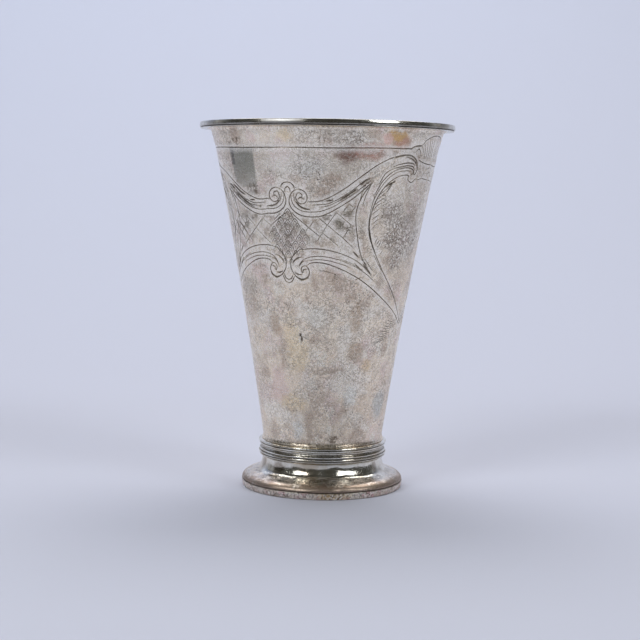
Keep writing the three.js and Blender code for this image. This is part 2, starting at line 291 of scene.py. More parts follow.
LOWER = [
    (FINE, [(6.8, 93.4), (9, 95.7), (13.8, 97.1), (19.6, 97.4), (26.5, 96.8), (34.5, 95.2),
        (42.4, 92.9), (49.3, 90.2), (55.3, 87.4)]),
    (FINE, [(11.9, 95.6), (17.8, 96.1), (24.6, 95.7), (31.6, 94.5), (37.5, 93.2)]),
    (FINE, [(30.5, 96.6), (36.4, 95.2), (40.4, 94.1)]),
    (BROAD, [(2.8, 94.4), (4.2, 95.7), (6.4, 96.6), (8.3, 97)]),
    (BROAD, [(6.9, 93.3), (8.2, 94.8), (10.3, 95.6)]),
    (BROAD, [(4.2, 90.8), (6.4, 90.1), (8.4, 90)]),
    (BROAD, [(5.7, 88.9), (9, 88), (12, 88.7), (13, 90)]),
    (BROAD, [(9.1, 91.2), (10, 92.1), (11.2, 92.2)]),
    (BROAD, [(38.8, 99.3), (40.6, 98.2), (42.2, 97.2)]),
    (BROAD, [(40.4, 94.6), (42.9, 93.1), (45.3, 92.2)]),
    (BROAD, [(45.9, 94.4), (48.8, 92.2), (51.7, 90.3)]),
    (FINE, [(43.2, 96.9), (46.2, 95.3), (49.2, 93.4)]),
    (FINE, [(46.2, 96.8), (50.2, 93.6), (53.7, 91.4)]),
    (FINE, [(52.7, 89.2), (54, 89)]),
    (FINE, [(54.8, 88.4), (56, 88.1)]),
    (FINE, [(56.8, 87.6), (58, 87.2)]),
    (FINE, [(58.8, 86.7), (59.8, 86.3)]),
    (FINE, [(60.7, 85.8), (61.6, 85.4)]),
    (FINE, [(62.7, 84.9), (63.5, 84.5)]),
]
HEAD = [
    (BROAD, [(56.4, 135.8), (60.9, 136.9), (66, 137.2), (69.5, 136.6), (72.6, 135.3), (74.1, 134)]),
    (BROAD, [(54, 124.9), (56.1, 126), (58.1, 126.4), (59.3, 126.8)]),
    (BROAD, [(64.5, 136.5), (67.9, 136), (70.7, 135.2), (72.9, 134.4)]),
    (BROAD, [(68.4, 135.9), (72, 134.6), (74.2, 132.9)]),
    (BROAD, [(71.1, 131.8), (72.1, 130.6), (71.3, 129.9)]),
    (MAIN, [(55.9, 132.4), (61, 133.6), (66, 134.2), (70.1, 134), (72.1, 133.3)]),
    (MAIN, [(49.1, 125.6), (52, 129.6), (56, 131.5), (61, 132.5), (66, 133.1), (70.6, 132.8),
        (72.7, 131.5)]),
    (MAIN, [(47.6, 121.8), (49.7, 125), (52.5, 128), (56, 130.2), (61, 131.8), (66.1, 132.3),
        (70.1, 131.9), (71.9, 130.6)]),
    (FINE, [(47.2, 119.4), (49.2, 122.6), (52.1, 126), (56, 128.9), (61, 130.7), (66.1, 131.1),
        (69.9, 131)]),
    (FINE, [(75, 130.9), (74, 133.2)]),
    (FINE, [(49.9, 130.4), (51.1, 131.2)]),
    (FINE, [(52.3, 131.9), (53.5, 132.7)]),
    (FINE, [(54.5, 133), (55.9, 133.6)]),
    (FINE, [(44.4, 127.8), (45.2, 128.3)]),
    (FINE, [(45.8, 128.5), (46.6, 129)]),
]
SIDE = [
    (FINE, [(47.8, 121.2), (46.7, 117.4), (46.2, 113), (46.4, 109), (47.6, 105.5), (49.9, 102),
        (53, 98.4)]),
    (FINE, [(47, 108.6), (49.3, 103.7), (51.9, 99.9)]),
    (FINE, [(52.5, 97.8), (55, 95.5), (58, 92.9), (60.4, 91.2)]),
    (FINE, [(44.6, 125.4), (42.3, 121), (41.2, 117)]),
    (FINE, [(42, 126.5), (40.2, 122.5), (39.3, 118.6)]),
]
LEAF = [
    (MAIN, [(51.9, 102.8), (53.2, 104.6)]),
    (MAIN, [(53.2, 102.3), (54.6, 103.8)]),
    (MAIN, [(54.5, 101.5), (55.9, 103.3)]),
    (FINE, [(55.9, 100.9), (57.2, 102.2)]),
    (FINE, [(56.2, 97.7), (57.6, 99.3), (59.1, 100.1)]),
    (HATCH, [(48.4, 108.3), (50.8, 110), (52.6, 110.6)]),
    (FINE, [(48.4, 110.1), (51, 111.7), (53.1, 112.2)]),
    (FINE, [(47.6, 111.9), (49.9, 113), (52.6, 114.1)]),
    (FINE, [(47.5, 114), (50.9, 115.8), (53, 116.4)]),
    (FINE, [(48, 115.8), (50.5, 117.7), (53.7, 118.7)]),
    (FINE, [(48.4, 117.7), (51, 119.2), (54.1, 120.5)]),
    (HATCH, [(48.9, 119.4), (51.4, 121), (54.5, 122.6)]),
    (FINE, [(49.8, 121.2), (52.2, 122.7), (55.3, 124.3)]),
    (BROAD, [(55.3, 124.5), (56.9, 125.9), (58.9, 127.1)]),
    (MAIN, [(54.5, 122.6), (56.1, 124.1), (57.8, 126.3)]),
    (HATCH, [(52.8, 116.4), (54.4, 118.1), (54.4, 120.4)]),
    (HATCH, [(53.2, 112.2), (54.7, 114.2), (54.3, 116.5)]),
]
LATTICE = [
    (FINE, [(27.1, 114.6), (21.9, 109), (20.1, 106.6)]),
    (FINE, [(27.1, 114.6), (31.7, 112), (37.4, 109)]),
    (FINE, [(17.8, 112.3), (21.9, 110), (27, 107.2), (32.1, 104.5), (38.9, 100.6)]),
    (FINE, [(33, 118.2), (36.7, 116.4)]),
    (FINE, [(32.9, 117.4), (30.2, 114.2)]),
    (FINE, [(35.7, 109.6), (32.2, 105)]),
    (FINE, [(20.1, 106.6), (17.1, 103.2)]),
    (FINE, [(20.1, 106.6), (25.6, 103.6), (30.2, 101.2)]),
    (FINE, [(35.3, 114.8), (37.4, 117.2)]),
    (FINE, [(32.1, 111.4), (29.1, 108.2)]),
]
ARM = [
    (FINE, [(2.1, 114.3), (5.9, 112), (10, 109.8), (14.7, 107.2), (19.2, 104.8)]),
    (FINE, [(12.5, 108.5), (15, 111.4)]),
    (FINE, [(9.8, 106.4), (12.2, 108.8)]),
]
SHELL = [
    (BROAD, [(66.4, 139.6), (68.9, 140.5), (71.5, 140.9), (75, 141)]),
    (MAIN, [(75, 141), (77.9, 143.2), (81.1, 144.2), (85.2, 145), (89.9, 145.3)]),
    (MAIN, [(71.2, 138.9), (73, 139.8), (74.5, 138.9), (75.3, 137.4)]),
    (MAIN, [(75.1, 135.4), (78.2, 134.7), (82.2, 134.2), (86.3, 133.9), (89.9, 133.9)]),
    (FINE, [(75.4, 141), (77.3, 139), (77.7, 136.6)]),
    (FINE, [(77.3, 142), (79.1, 139.4), (79.6, 136.2)]),
    (FINE, [(79.3, 143), (81.4, 140), (81.8, 136)]),
    (FINE, [(81.7, 143.8), (83.6, 140.4), (84, 135.8)]),
    (FINE, [(84.2, 144.2), (85.8, 140.6), (86.3, 135.6)]),
    (FINE, [(86.8, 144.6), (88.1, 140.8), (88.3, 135.5)]),
    (FINE, [(76.1, 137.8), (76.7, 136.4)]),
    (FINE, [(83.8, 131), (81.8, 129.6), (81.2, 128.4)]),
    (FINE, [(76.2, 127.6), (81.2, 128.2), (85.3, 128), (89.9, 127.8)]),
    (FINE, [(85.3, 131.6), (87.7, 132.4), (89.9, 132.6)]),
    (FINE, [(87.3, 129.6), (88.5, 130.6), (89.9, 131)]),
]
FRINGE = [
    (HATCH, [(83.6, 71.2), (77.8, 70.6), (72, 71.4)]),
    (HATCH, [(82.3, 70.2), (76.6, 69.6), (71.9, 70.3)]),
    (HATCH, [(81.1, 69.3), (75.3, 68.7), (69.8, 69.2)]),
    (HATCH, [(79.8, 68.3), (74.1, 67.8), (69.6, 68.1)]),
    (HATCH, [(78.6, 67.4), (72.9, 66.8), (67.5, 67)]),
    (HATCH, [(77.4, 66.4), (71.6, 65.8), (67.3, 65.9)]),
    (HATCH, [(76.1, 65.5), (70.4, 64.9), (65.3, 64.8)]),
    (HATCH, [(74.9, 64.5), (69.2, 63.9), (65.1, 63.7)]),
    (HATCH, [(73.7, 63.6), (68, 63), (63, 62.6)]),
]
LATTICE_LEFT = [
    (FINE, [(16.7, 111.7), (22, 108.3), (25.9, 106), (30.4, 103.5)]),
    (FINE, [(16.7, 111.7), (13.7, 110.4), (10.5, 108.8)]),
    (FINE, [(22.3, 107.9), (15.7, 104.2), (11, 101.8)]),
    (FINE, [(29.8, 112.6), (22.6, 108.6)]),
    (BROAD, [(38.3, 110.2), (34.8, 108.2), (31.4, 105.8)]),
    (FINE, [(31.4, 105.8), (26.2, 102.6)]),
    (FINE, [(30.3, 103.6), (34.8, 101.2)]),
    (FINE, [(38.1, 105.2), (31.8, 109.4), (29.7, 112.4)]),
    (MAIN, [(44.4, 111.4), (38.1, 106.6), (33.9, 103.4)]),
    (FINE, [(40.5, 114.8), (34.3, 111), (29.7, 107.6)]),
    (FINE, [(52.2, 104), (44.3, 108.6), (38.4, 112.6)]),
    (FINE, [(50.4, 110), (42.1, 104.6)]),
    (BROAD, [(39.3, 124.9), (36.5, 123.8), (32.4, 122), (28.7, 120.9)]),
    (MAIN, [(35.8, 121.5), (31.1, 119.2), (26.6, 117.4), (22.1, 116.1)]),
    (FINE, [(39.8, 122.8), (32.6, 118.9), (26.5, 116.6)]),
    (FINE, [(-1.2, 114.6), (3.2, 113.2), (8.4, 110.4), (11, 109)]),
    (FINE, [(4.5, 113.9), (8.7, 111.2)]),
]

# Shading between the lines: rows of short parallel strokes. A row is given by the two ends of its
# first stroke, the two ends of its last, and how many strokes it has in all.
SHADING = [
    ((26.3, 119.2), (28.8, 118.6), (36.1, 124.2), (38.2, 123), 12),
    ((38.4, 126.2), (40.3, 125.2), (43.4, 128.2), (45, 127), 7),
    ((39.6, 112.4), (41.8, 112), (40.7, 104.6), (42.9, 104.6), 13),
    ((42.2, 108.2), (44, 107.2), (46.1, 104), (47.5, 103), 7),
    ((28, 111.4), (31.4, 110.4), (28.5, 108.6), (31.9, 108.4), 6),
    ((32, 114.8), (35.5, 115), (33, 113.2), (35.6, 113.4), 4),
    ((32.4, 108.8), (35.8, 109), (33.3, 107.6), (35.9, 107.8), 4),
    ((19.7, 113.2), (23.1, 113.4), (20.6, 111.8), (23.2, 111.9), 4),
    ((8.9, 111.4), (11.3, 111.4), (9.2, 110), (11.2, 110.2), 4),
    ((14.4, 112.2), (15.8, 111.6), (16.7, 110.4), (17.5, 109.8), 4),
    ((48.2, 94.8), (50.5, 95.4), (62.1, 85.6), (63.8, 87.2), 17),
    ((64, 86), (65.6, 86.8), (77.7, 78), (80.2, 79.4), 15),
    ((46, 100.8), (47.7, 101.8), (49.7, 97), (51.8, 97.6), 6),
    ((42.6, 97.8), (43.7, 98.4), (46.8, 94.8), (48.2, 95.4), 6),
    ((24.2, 104.6), (26.3, 104.8), (25.2, 103), (27.6, 103.2), 4),
    ((51.6, 121.8), (54.9, 121), (54, 110), (55.6, 109), 10),
]


def cup_radius(height):
    """A straight cone from waist to neck, drawn in at mid height by a parabola, and swung out a
    little more below the lip by a smooth step."""
    share = (height - WAIST_HEIGHT) / (NECK_HEIGHT - WAIST_HEIGHT)
    cone = WAIST_RADIUS + (NECK_RADIUS - WAIST_RADIUS) * share
    lip = np.clip((height - LIP_START) / LIP_RISE, 0, 1)
    return cone - 4 * HOLLOW * share * (1 - share) + LIP_SWING * lip**2 * (3 - 2 * lip)


def mm_per_degree(height):
    """How far one degree round reaches on the wall at a height."""
    return cup_radius(height) * math.pi / 180


def curve_through(points, steps):
    """Places on the smooth curve through the points, with so many steps on each span. A span is the
    cubic whose slope at each end is half the way from the point before to the point after."""
    given = np.array(points, float)
    ends = np.vstack([2 * given[0] - given[1], given, 2 * given[-1] - given[-2]])
    before, start, end, after = ends[:-3], ends[1:-2], ends[2:-1], ends[3:]
    span = np.repeat(np.arange(len(steps)), steps)
    t = ((np.arange(steps.sum()) - np.repeat(np.cumsum(steps) - steps, steps)) / steps[span])[:, None]
    line = 0.5 * (2 * start[span] + (end - before)[span] * t
                  + (2 * before - 5 * start + 4 * end - after)[span] * t**2
                  + (3 * start - before - 3 * end + after)[span] * t**3)
    return np.vstack([line, given[-1]])


def smooth_line(points):
    """A stroke's places, about STEP mm apart."""
    length = np.hypot(*(np.diff(np.array(points, float), axis=0) * (MM_PER_DEGREE, 1)).T)
    return curve_through(points, np.maximum(2, np.ceil(length / STEP)).astype(int))


def arch(middle, top, half_width, drop):
    """A pointed horseshoe of seven points, its legs drop mm below its top."""
    out = np.array([-1, -0.85, -0.42, 0, 0.42, 0.85, 1]) * half_width
    down = np.array([1, 0.6, 0.22, 0, 0.22, 0.6, 1]) * drop
    points = np.stack([middle + out, top - down], -1)
    return points[points[:, 0] >= 0]


def shading_strokes():
    """The rows of SHADING as strokes: stroke number i of n lies i / (n - 1) of the way from the
    first to the last."""
    made = []
    for a, b, c, d, count in SHADING:
        share = np.linspace(0, 1, count)[:, None]
        tops = np.array(a) + (np.array(c) - a) * share
        feet = np.array(b) + (np.array(d) - b) * share
        made += [(HATCH, pair) for pair in np.stack([tops, feet], 1)]
    return made


# The scales between the volutes, from the topmost one down.
SCALE_ROWS = 10
SCALES_TOP = 116.1
ROW_DROP = 2.1
HALF_SCALE = 2.15


def scale_field():
    """Rows of scales that fill a lozenge between the volutes. Each row lies ROW_DROP mm below the last
    and half a scale aside; a scale is a pointed arch with a smaller one inside and a tick below,
    each a little off its place, as cut by hand."""
    hand = np.random.default_rng(3)
    made = []
    for row in range(SCALE_ROWS):
        for column in range(3):
            turn = (2 * column + row % 2) * HALF_SCALE
            if turn > min(row, SCALE_ROWS - row) * HALF_SCALE:
                continue
            middle = turn + hand.uniform(-0.8, 0.8) * (turn > 0)
            top = SCALES_TOP - ROW_DROP * row + hand.uniform(-0.5, 0.5)
            wide, depth = hand.uniform(1.6, 2.3), hand.uniform(0.07, 0.13)
            made.append(((0.16, depth), arch(middle, top, wide, 2.5)))
            made.append(((0.14, 0.8 * depth), arch(middle, top - 0.9, 0.5 * wide, 1.7)))
            made.append(((0.13, 0.07), [(middle, top - 1.9), (middle + 0.3, top - 2.9)]))
    return made


SCALES = scale_field()

# Knocks and scratches on the photographed side: degrees round and height.
NICKS = [
    (HATCH, [(-20.5, 65.9), (-16, 65.2), (-12, 64.3), (-8, 63.6)]), (BROAD, [(-17.2, 66.3), (-16.9, 65.6)]),
    (BROAD, [(-16.6, 64.5), (-16.2, 63.8)]), (HATCH, [(-17, 66.5), (-16.4, 63.4)]),
    (MAIN, [(-17.6, 65.7), (-15.6, 64.6)]), (HATCH, [(-3, 92), (6, 90.6)]),
    (HATCH, [(18, 88), (24, 89.4)]), (HATCH, [(-30, 79), (-26, 77.4), (-25, 75)]),
]

# The left half was drawn by eye between the lower band and the ring line. A stroke thins out at an
# open end: there it has TIP_DEPTH of its depth, and every mm further in adds TIP_GROWTH of it.
LOWER_BAND_TOP = 103
RING_LINE = 139
MIRROR_HOLD = 9
TIP_DEPTH = 0.35
TIP_GROWTH = 0.5
TIP_WIDTH = 0.4


def hand_drift(line):
    """How much higher than its twin a stroke of the left half was cut, since it was drawn by eye:
    the upper band falls away to the side, and the lower band rises a little."""
    turn, height = line.T
    upper = np.interp(turn, [0, 12, 55, 90], [0, 1.1, -4.3, 0])
    lower = np.interp(turn, [0, 12, 60, 90], [0, 1.0, 1.0, 0])
    share = np.clip((height - LOWER_BAND_TOP) / 10, 0, 1)
    drift = (upper * share + lower * (1 - share)) * np.clip(RING_LINE - height, 0, 1)
    return np.stack([turn, height + drift], -1)


def placed_cuts():
    """Every stroke of the four half ornaments as (places, half widths, depths). A place is degrees
    round from the photographed side and height. Widths and depths taper at both ends, but not where
    a stroke meets its twin: there it goes on for MIRROR_HOLD mm, as far as the taper can tell."""
    both = BANDS + UPPER + HUSKS + LOWER + HEAD + SIDE + LEAF + SHELL + FRINGE + SCALES
    shading = shading_strokes()
    made = []
    for side in (0, 180):
        for hand, own in ((1, LATTICE + ARM), (-1, LATTICE_LEFT)):
            for shared, strokes in ((True, both + shading), (False, own)):
                for (half, depth), points in strokes:
                    line = smooth_line(points)
                    if shared and hand < 0:
                        line = hand_drift(line)
                    turn, height = line.T
                    slant = HAND_SLANT * (height - SLANT_HEIGHT) * (1 - turn / 90)
                    place = np.stack([side + VOLUTE_AXIS + hand * turn + slant, height], -1)
                    gone = np.hypot(*(np.diff(line, axis=0) * (MM_PER_DEGREE, 1)).T)
                    walk = np.append(0, np.cumsum(gone))
                    open_end = np.minimum(walk + MIRROR_HOLD * (turn[0] == 0),
                                          walk[-1] - walk + MIRROR_HOLD * (turn[-1] == 90))
                    taper = np.clip(TIP_DEPTH + TIP_GROWTH * open_end, 0, 1)
                    width = half * (TIP_WIDTH + (1 - TIP_WIDTH) * taper)
                    made.append((place, width, depth * taper))
    for (half, depth), points in NICKS:
        place = smooth_line(points)
        taper = np.sin(np.linspace(0.3, math.pi - 0.3, len(place)))
        made.append((place, half * taper, depth * taper))
    return made


CUT_MARGIN = 1.5


def cut_relief(cuts, turn, height):
    """Depth below the wall at places on it, the depth's slope round and up, and where the burr is.
    Across a stroke, x is the distance over the half width. The depth is the full depth times
    (1 - x^2)^2, and beyond it a low burr stands up from x = 1 to BURR_REACH by the same bump.
    Where strokes cross, the deeper one counts."""
    depth = np.zeros(len(turn))
    burr = np.zeros(len(turn))
    slope = np.zeros((len(turn), 2))
    stretch = mm_per_degree(height)
    for line, half, deep in cuts:
        low = line.min(0) - CUT_MARGIN
        high = line.max(0) + CUT_MARGIN
        near = np.flatnonzero((turn > low[0]) & (turn < high[0])
                              & (height > low[1]) & (height < high[1]))
        if not near.size:
            continue
        scale = np.stack([stretch[near], np.ones(len(near))], -1)[:, None]
        start = (np.stack([turn[near], height[near]], -1)[:, None] - line[:-1]) * scale
        along = (line[1:] - line[:-1]) * scale
        share = np.clip((start * along).sum(-1) / (along**2).sum(-1), 0, 1)
        away = start - along * share[..., None]
        distance = np.hypot(away[..., 0], away[..., 1])
        best = distance.argmin(1)
        pick = np.arange(len(near))
        share, away, distance = share[pick, best], away[pick, best], distance[pick, best]
        width = half[best] + (half[best + 1] - half[best]) * share
        full = deep[best] + (deep[best + 1] - deep[best]) * share
        x = distance / width
        unit = away / np.maximum(distance, 1e-9)[:, None]
        here = full * (1 - x**2)**2
        rate = (-4 * full * x * (1 - x**2) / width)[:, None] * unit
        better = (x < 1) & (here > np.maximum(depth[near], 0))
        depth[near[better]] = here[better]
        slope[near[better]] = rate[better]
        burr[near[better]] = 0
        u = 2 * (x - 1) / (BURR_REACH - 1) - 1
        rise = BURR_HEIGHT * (1 - u**2)**2 * (full > BURR_FROM)
        lean = (8 * BURR_HEIGHT * u * (1 - u**2) / (BURR_REACH - 1) / width)[:, None] * unit
        raised = (abs(u) < 1) & (depth[near] <= 0) & (rise > -depth[near])
        depth[near[raised]] = -rise[raised]
        slope[near[raised]] = lean[raised]
        burr[near[raised]] = rise[raised] / BURR_HEIGHT
    return depth, slope, burr


# How the wall's points are laid: a loose grid in degrees and mm, rows along each stroke in shares of
# its half width, and gaps that keep them off the borders.
GRID_TURN = 3
GRID_RISE = 2.2
GRID_SHIFT = 0.6
CELLS_ROUND = 720
CELLS_UP = 400
BORDER_POINTS = 345
FINE_ROWS = (-1, -0.4, 0.4, 1)
MAIN_ROWS = (-1.75, -1, -0.5, 0.5, 1, 1.75)
BROAD_ROWS = (-1.75, -1, -0.5, 0, 0.5, 1, 1.75)
MAIN_WIDTH = 0.25
SEAM_GAP = 0.15
BORDER_GAP = (0.5, 0.4)
SLOPE_REACH = 0.05


def cell_of(places):
    """The cell that a place falls in: half a degree round by a third of a mm up."""
    return (((places[:, 0] - TURN_START) * 2).astype(int) % CELLS_ROUND,
            ((places[:, 1] - ENGRAVED_LOW) * 3).astype(int))


def wall_places(cuts):
    """Where the engraved wall gets its points, as (degrees, height): rows along and beside every
    stroke, a loose grid where no stroke is near, and fixed points round the four borders."""
    rows = []
    for line, half, deep in cuts:
        stretch = mm_per_degree(line[:, 1])
        ahead = np.gradient(line, axis=0) * np.stack([stretch, np.ones(len(line))], -1)
        ahead /= np.hypot(*ahead.T)[:, None]
        aside = np.stack([-ahead[:, 1] / stretch, ahead[:, 0]], -1)
        spread = MAIN_ROWS if half.max() < MAIN_WIDTH else BROAD_ROWS
        if deep.max() <= BURR_FROM:
            spread = FINE_ROWS
        rows += [line + aside * (half * share)[:, None] for share in spread]
    rows = np.concatenate(rows)
    grid_turn, grid_height = np.meshgrid(
        np.arange(TURN_START + 1.5, TURN_START + 359, GRID_TURN),
        np.arange(ENGRAVED_LOW + 2, ENGRAVED_HIGH - 1, GRID_RISE))
    grid = np.stack([grid_turn.ravel(), grid_height.ravel()], -1)
    grid += np.random.default_rng(7).uniform(-GRID_SHIFT, GRID_SHIFT, grid.shape)
    cell = np.zeros((CELLS_ROUND, CELLS_UP), bool)
    cell[cell_of(rows)] = True
    cell[1:] |= cell[:-1].copy()
    cell[:-1] |= cell[1:].copy()
    cell[:, 1:] |= cell[:, :-1].copy()
    cell[:, :-1] |= cell[:, 1:].copy()
    inner = np.concatenate([rows, grid[~cell[cell_of(grid)]]])
    turn, height = inner.T
    inside = ((turn > TURN_START + SEAM_GAP) & (turn < TURN_START + 360 - SEAM_GAP)
              & (height > ENGRAVED_LOW + BORDER_GAP[0]) & (height < ENGRAVED_HIGH - BORDER_GAP[1]))
    inner = np.unique(np.round(inner[inside], 2), axis=0)
    up = np.linspace(ENGRAVED_LOW, ENGRAVED_HIGH, BORDER_POINTS)
    round_ = TURN_START + np.arange(1, COLUMNS) * 360 / COLUMNS
    borders = [np.stack([np.full(BORDER_POINTS, edge), up], -1)
               for edge in (TURN_START, TURN_START + 360)]
    borders += [np.stack([round_, np.full(COLUMNS - 1, edge)], -1)
                for edge in (ENGRAVED_LOW, ENGRAVED_HIGH)]
    return np.concatenate([inner, *borders])


def on_wall(turn, height, depth, slope):
    """Points and normals on the cup's outside: radius less depth at an angle round, and the wall's
    own normal leant by the slope of the cut."""
    angle = np.radians(turn)
    side, front = np.sin(angle), -np.cos(angle)
    radius = cup_radius(height) - depth
    steep = (cup_radius(height + SLOPE_REACH) - cup_radius(height - SLOPE_REACH)) / (2 * SLOPE_REACH)
    lean = np.sqrt(1 + steep**2)[:, None]
    out = np.stack([side, front, -steep], -1) / lean
    sideways = np.stack([-front, side, 0 * angle], -1)
    upward = np.stack([steep * side, steep * front, 1 + 0 * angle], -1) / lean
    normal = out + slope[:, :1] * sideways + slope[:, 1:] * upward
    normal /= np.linalg.norm(normal, axis=1)[:, None]
    return np.stack([radius * side, radius * front, height], -1), normal


def engraved_wall():
    """The outside between two heights: the places are joined into triangles in the flat, as if the
    wall were unrolled, and the last column is the first."""
    cuts = placed_cuts()
    flat = wall_places(cuts) * (MM_PER_DEGREE, 1)
    found, _, faces, *_ = delaunay_2d_cdt([Vector(p) for p in flat], [], [], 0, 1e-6, True)
    place = np.array([tuple(v) for v in found]) / (MM_PER_DEGREE, 1)
    triangles = np.array(faces)
    depth, slope, burr = cut_relief(cuts, *place.T)
    points, normals = on_wall(*place.T, depth, slope)
    return points, normals, triangles, depth, burr


def turned(profile):
    """A profile of (radius, height) turned round the axis. A normal is the profile's own direction
    turned by a right angle, so the profile runs upward on an outside and downward on an inside."""
    profile = np.asarray(profile, float)
    angle = np.radians(TURN_START + np.arange(COLUMNS + 1) * 360 / COLUMNS)
    ahead = np.gradient(profile, axis=0)
    ahead /= np.maximum(np.hypot(*ahead.T), 1e-9)[:, None]
    ring = np.stack([np.sin(angle), -np.cos(angle), np.ones(COLUMNS + 1)], -1)
    points = profile[:, [0, 0, 1]][:, None] * ring
    normals = np.stack([ahead[:, 1], ahead[:, 1], -ahead[:, 0]], -1)[:, None] * ring
    return points.reshape(-1, 3), normals.reshape(-1, 3), grid_triangles(len(profile), COLUMNS + 1)


def welded(surfaces):
    """Several surfaces as one: points that fall together become one point, with the first one's
    normal, and triangles that lose a corner are left out."""
    counts = np.cumsum([0] + [len(points) for points, *_ in surfaces])
    points = np.concatenate([surface[0] for surface in surfaces])
    normals = np.concatenate([surface[1] for surface in surfaces])
    triangles = np.concatenate([surface[2] + start for surface, start in zip(surfaces, counts)])
    _, first, same = np.unique(np.round(points, 3) + 0.0, axis=0, return_index=True,
                               return_inverse=True)
    triangles = same.reshape(-1)[triangles]
    a, b, c = triangles.T
    triangles = triangles[(a != b) & (b != c) & (c != a)]
    return points[first], normals[first], triangles, first


def smooth_profile(points, spacing):
    """Evenly spaced places on the smooth curve through the points of a profile."""
    line = curve_through(points, np.full(len(points) - 1, PROFILE_STEPS))
    walk = np.append(0, np.cumsum(np.hypot(*np.diff(line, axis=0).T)))
    even = np.linspace(0, walk[-1], max(3, int(walk[-1] / spacing) + 1))
    return np.stack([np.interp(even, walk, line[:, 0]), np.interp(even, walk, line[:, 1])], -1)


def carry(piece, name, values):
    """Give the mesh a value for each point, under a name that its material reads."""
    piece.data.attributes.new(name, "FLOAT", "POINT").data.foreach_set("value", values)


def cup_surfaces():
    """The cup but for its engraved wall: from under its floor up to where the engraving starts, and
    from where it ends over the lip and down the inside."""
    low = np.arange(WAIST_HEIGHT, ENGRAVED_LOW + 0.1, 3.8)
    base = smooth_profile([(24.8, CUP_BASE_HEIGHT), (25.2, CUP_BASE_HEIGHT + 0.05),
                           (CUP_BASE_RADIUS, CUP_BASE_HEIGHT + 0.2), (25.05, 20.8)], 0.15)
    wall = np.stack([cup_radius(low), low], -1)
    foot_of_wall = np.vstack([[(0, CUP_BASE_HEIGHT), (12, CUP_BASE_HEIGHT)], base, wall])
    lip = smooth_profile([(cup_radius(ENGRAVED_HIGH), ENGRAVED_HIGH), (47.9, 146.9), (48.5, 147.3),
                          (49.25, 147.42), (49.28, 147.8), (49.28, 149.4), (49.24, 149.8),
                          (49.0, 149.96), (48.7, 149.9), (48.5, 149.6), (48.4, 149.0),
                          (48.1, 147.9), (47.4, 146.9), (46.5, 145.4), (45.6, 142.5)], 0.2)
    down = np.arange(140, 24, -5.0)
    inside = np.stack([cup_radius(down) - WALL, down], -1)
    floor = smooth_profile([(cup_radius(25.0) - WALL, 25.0), (23.4, 22.6), (22.3, 21.3),
                            (20.2, CUP_FLOOR_HEIGHT), (12, CUP_FLOOR_HEIGHT - 0.05),
                            (0, CUP_FLOOR_HEIGHT - 0.1)], 1.8)
    return [turned(foot_of_wall), turned(np.vstack([lip, inside, floor]))]


wall = engraved_wall()
surfaces = [wall] + cup_surfaces()
points, normals, triangles, first = welded(surfaces)
cup = mesh_object("engraved_cup", points, triangles, normals)
outward = (points[:, :2] * normals[:, :2]).sum(1) / np.maximum(np.hypot(*points[:, :2].T), 1e-6)
on_floor = (normals[:, 2] > 0.5) & (points[:, 2] > CUP_BASE_HEIGHT + 0.5)
carry(cup, "inside", ((outward < -0.2) | on_floor) * 1.0)
for name, values in (("grime_and_shade", np.clip(wall[3] / GRIME_DEPTH, 0, 1)), ("burr", wall[4])):
    full = np.zeros(sum(len(surface[0]) for surface in surfaces))
    full[:len(values)] = values
    carry(cup, name, full[first])


def moved(tree, operation, place, other):
    """One step of arithmetic on places."""
    return add_node(tree, "ShaderNodeVectorMath", {"operation": operation},
                    {0: place, 1: other}).outputs[0]


def new_group(name, inputs, outputs):
    """An empty node group. Inputs and outputs are given by name with a first value: one number, or
    three for a place."""
    tree = bpy.data.node_groups.new(name, "ShaderNodeTree")
    for side, sockets in (("INPUT", inputs), ("OUTPUT", outputs)):
        for label, value in sockets.items():
            kind = "NodeSocketVector" if isinstance(value, tuple) else "NodeSocketFloat"
            socket = tree.interface.new_socket(name=label, in_out=side, socket_type=kind)
            socket.default_value = value
    return tree, tree.nodes.new("NodeGroupInput").outputs, tree.nodes.new("NodeGroupOutput").inputs


def clouds_group():
    """Soft clouds: noise of a given size, stretched upward, eased between two levels."""
    tree, take, give = new_group("tarnish_clouds",
                                 {"Vector": (0, 0, 0), "Scale": 60.0, "Upright": 0.6, "Low": 0.4,
                                  "High": 0.6, "Seed": 0.0}, {"Mask": 0.0})
    squeeze = add_node(tree, "ShaderNodeCombineXYZ", {}, {0: 1.0, 1: 1.0, 2: take["Upright"]})
    tall = moved(tree, "MULTIPLY", take["Vector"], squeeze.outputs[0])
    noise = add_node(tree, "ShaderNodeTexNoise", {"noise_dimensions": "4D"},
                     {"Vector": tall, "W": take["Seed"], "Scale": take["Scale"], "Detail": 6.0,
                      "Roughness": 0.62, "Distortion": 0.4})
    tree.links.new(ramped(tree, noise.outputs["Fac"], take["Low"], take["High"]), give["Mask"])
    return tree


def ragged_group():
    """A place shaken by noise of about 4 mm and 1 mm, so that whatever is drawn there has a ragged
    edge: place + (noise - 0.5) times the amount, which is 6 mm."""
    tree, take, give = new_group("ragged_place", {"Vector": (0, 0, 0), "Amount": 0.006},
                                 {"Vector": (0, 0, 0)})
    noise = add_node(tree, "ShaderNodeTexNoise", {}, {"Vector": take["Vector"], "Scale": 240.0,
                                                     "Detail": 4.0, "Roughness": 0.7})
    middle = moved(tree, "SUBTRACT", noise.outputs["Color"], (0.5, 0.5, 0.5))
    shake = moved(tree, "MULTIPLY", middle, take["Amount"])
    tree.links.new(moved(tree, "ADD", take["Vector"], shake), give["Vector"])
    return tree


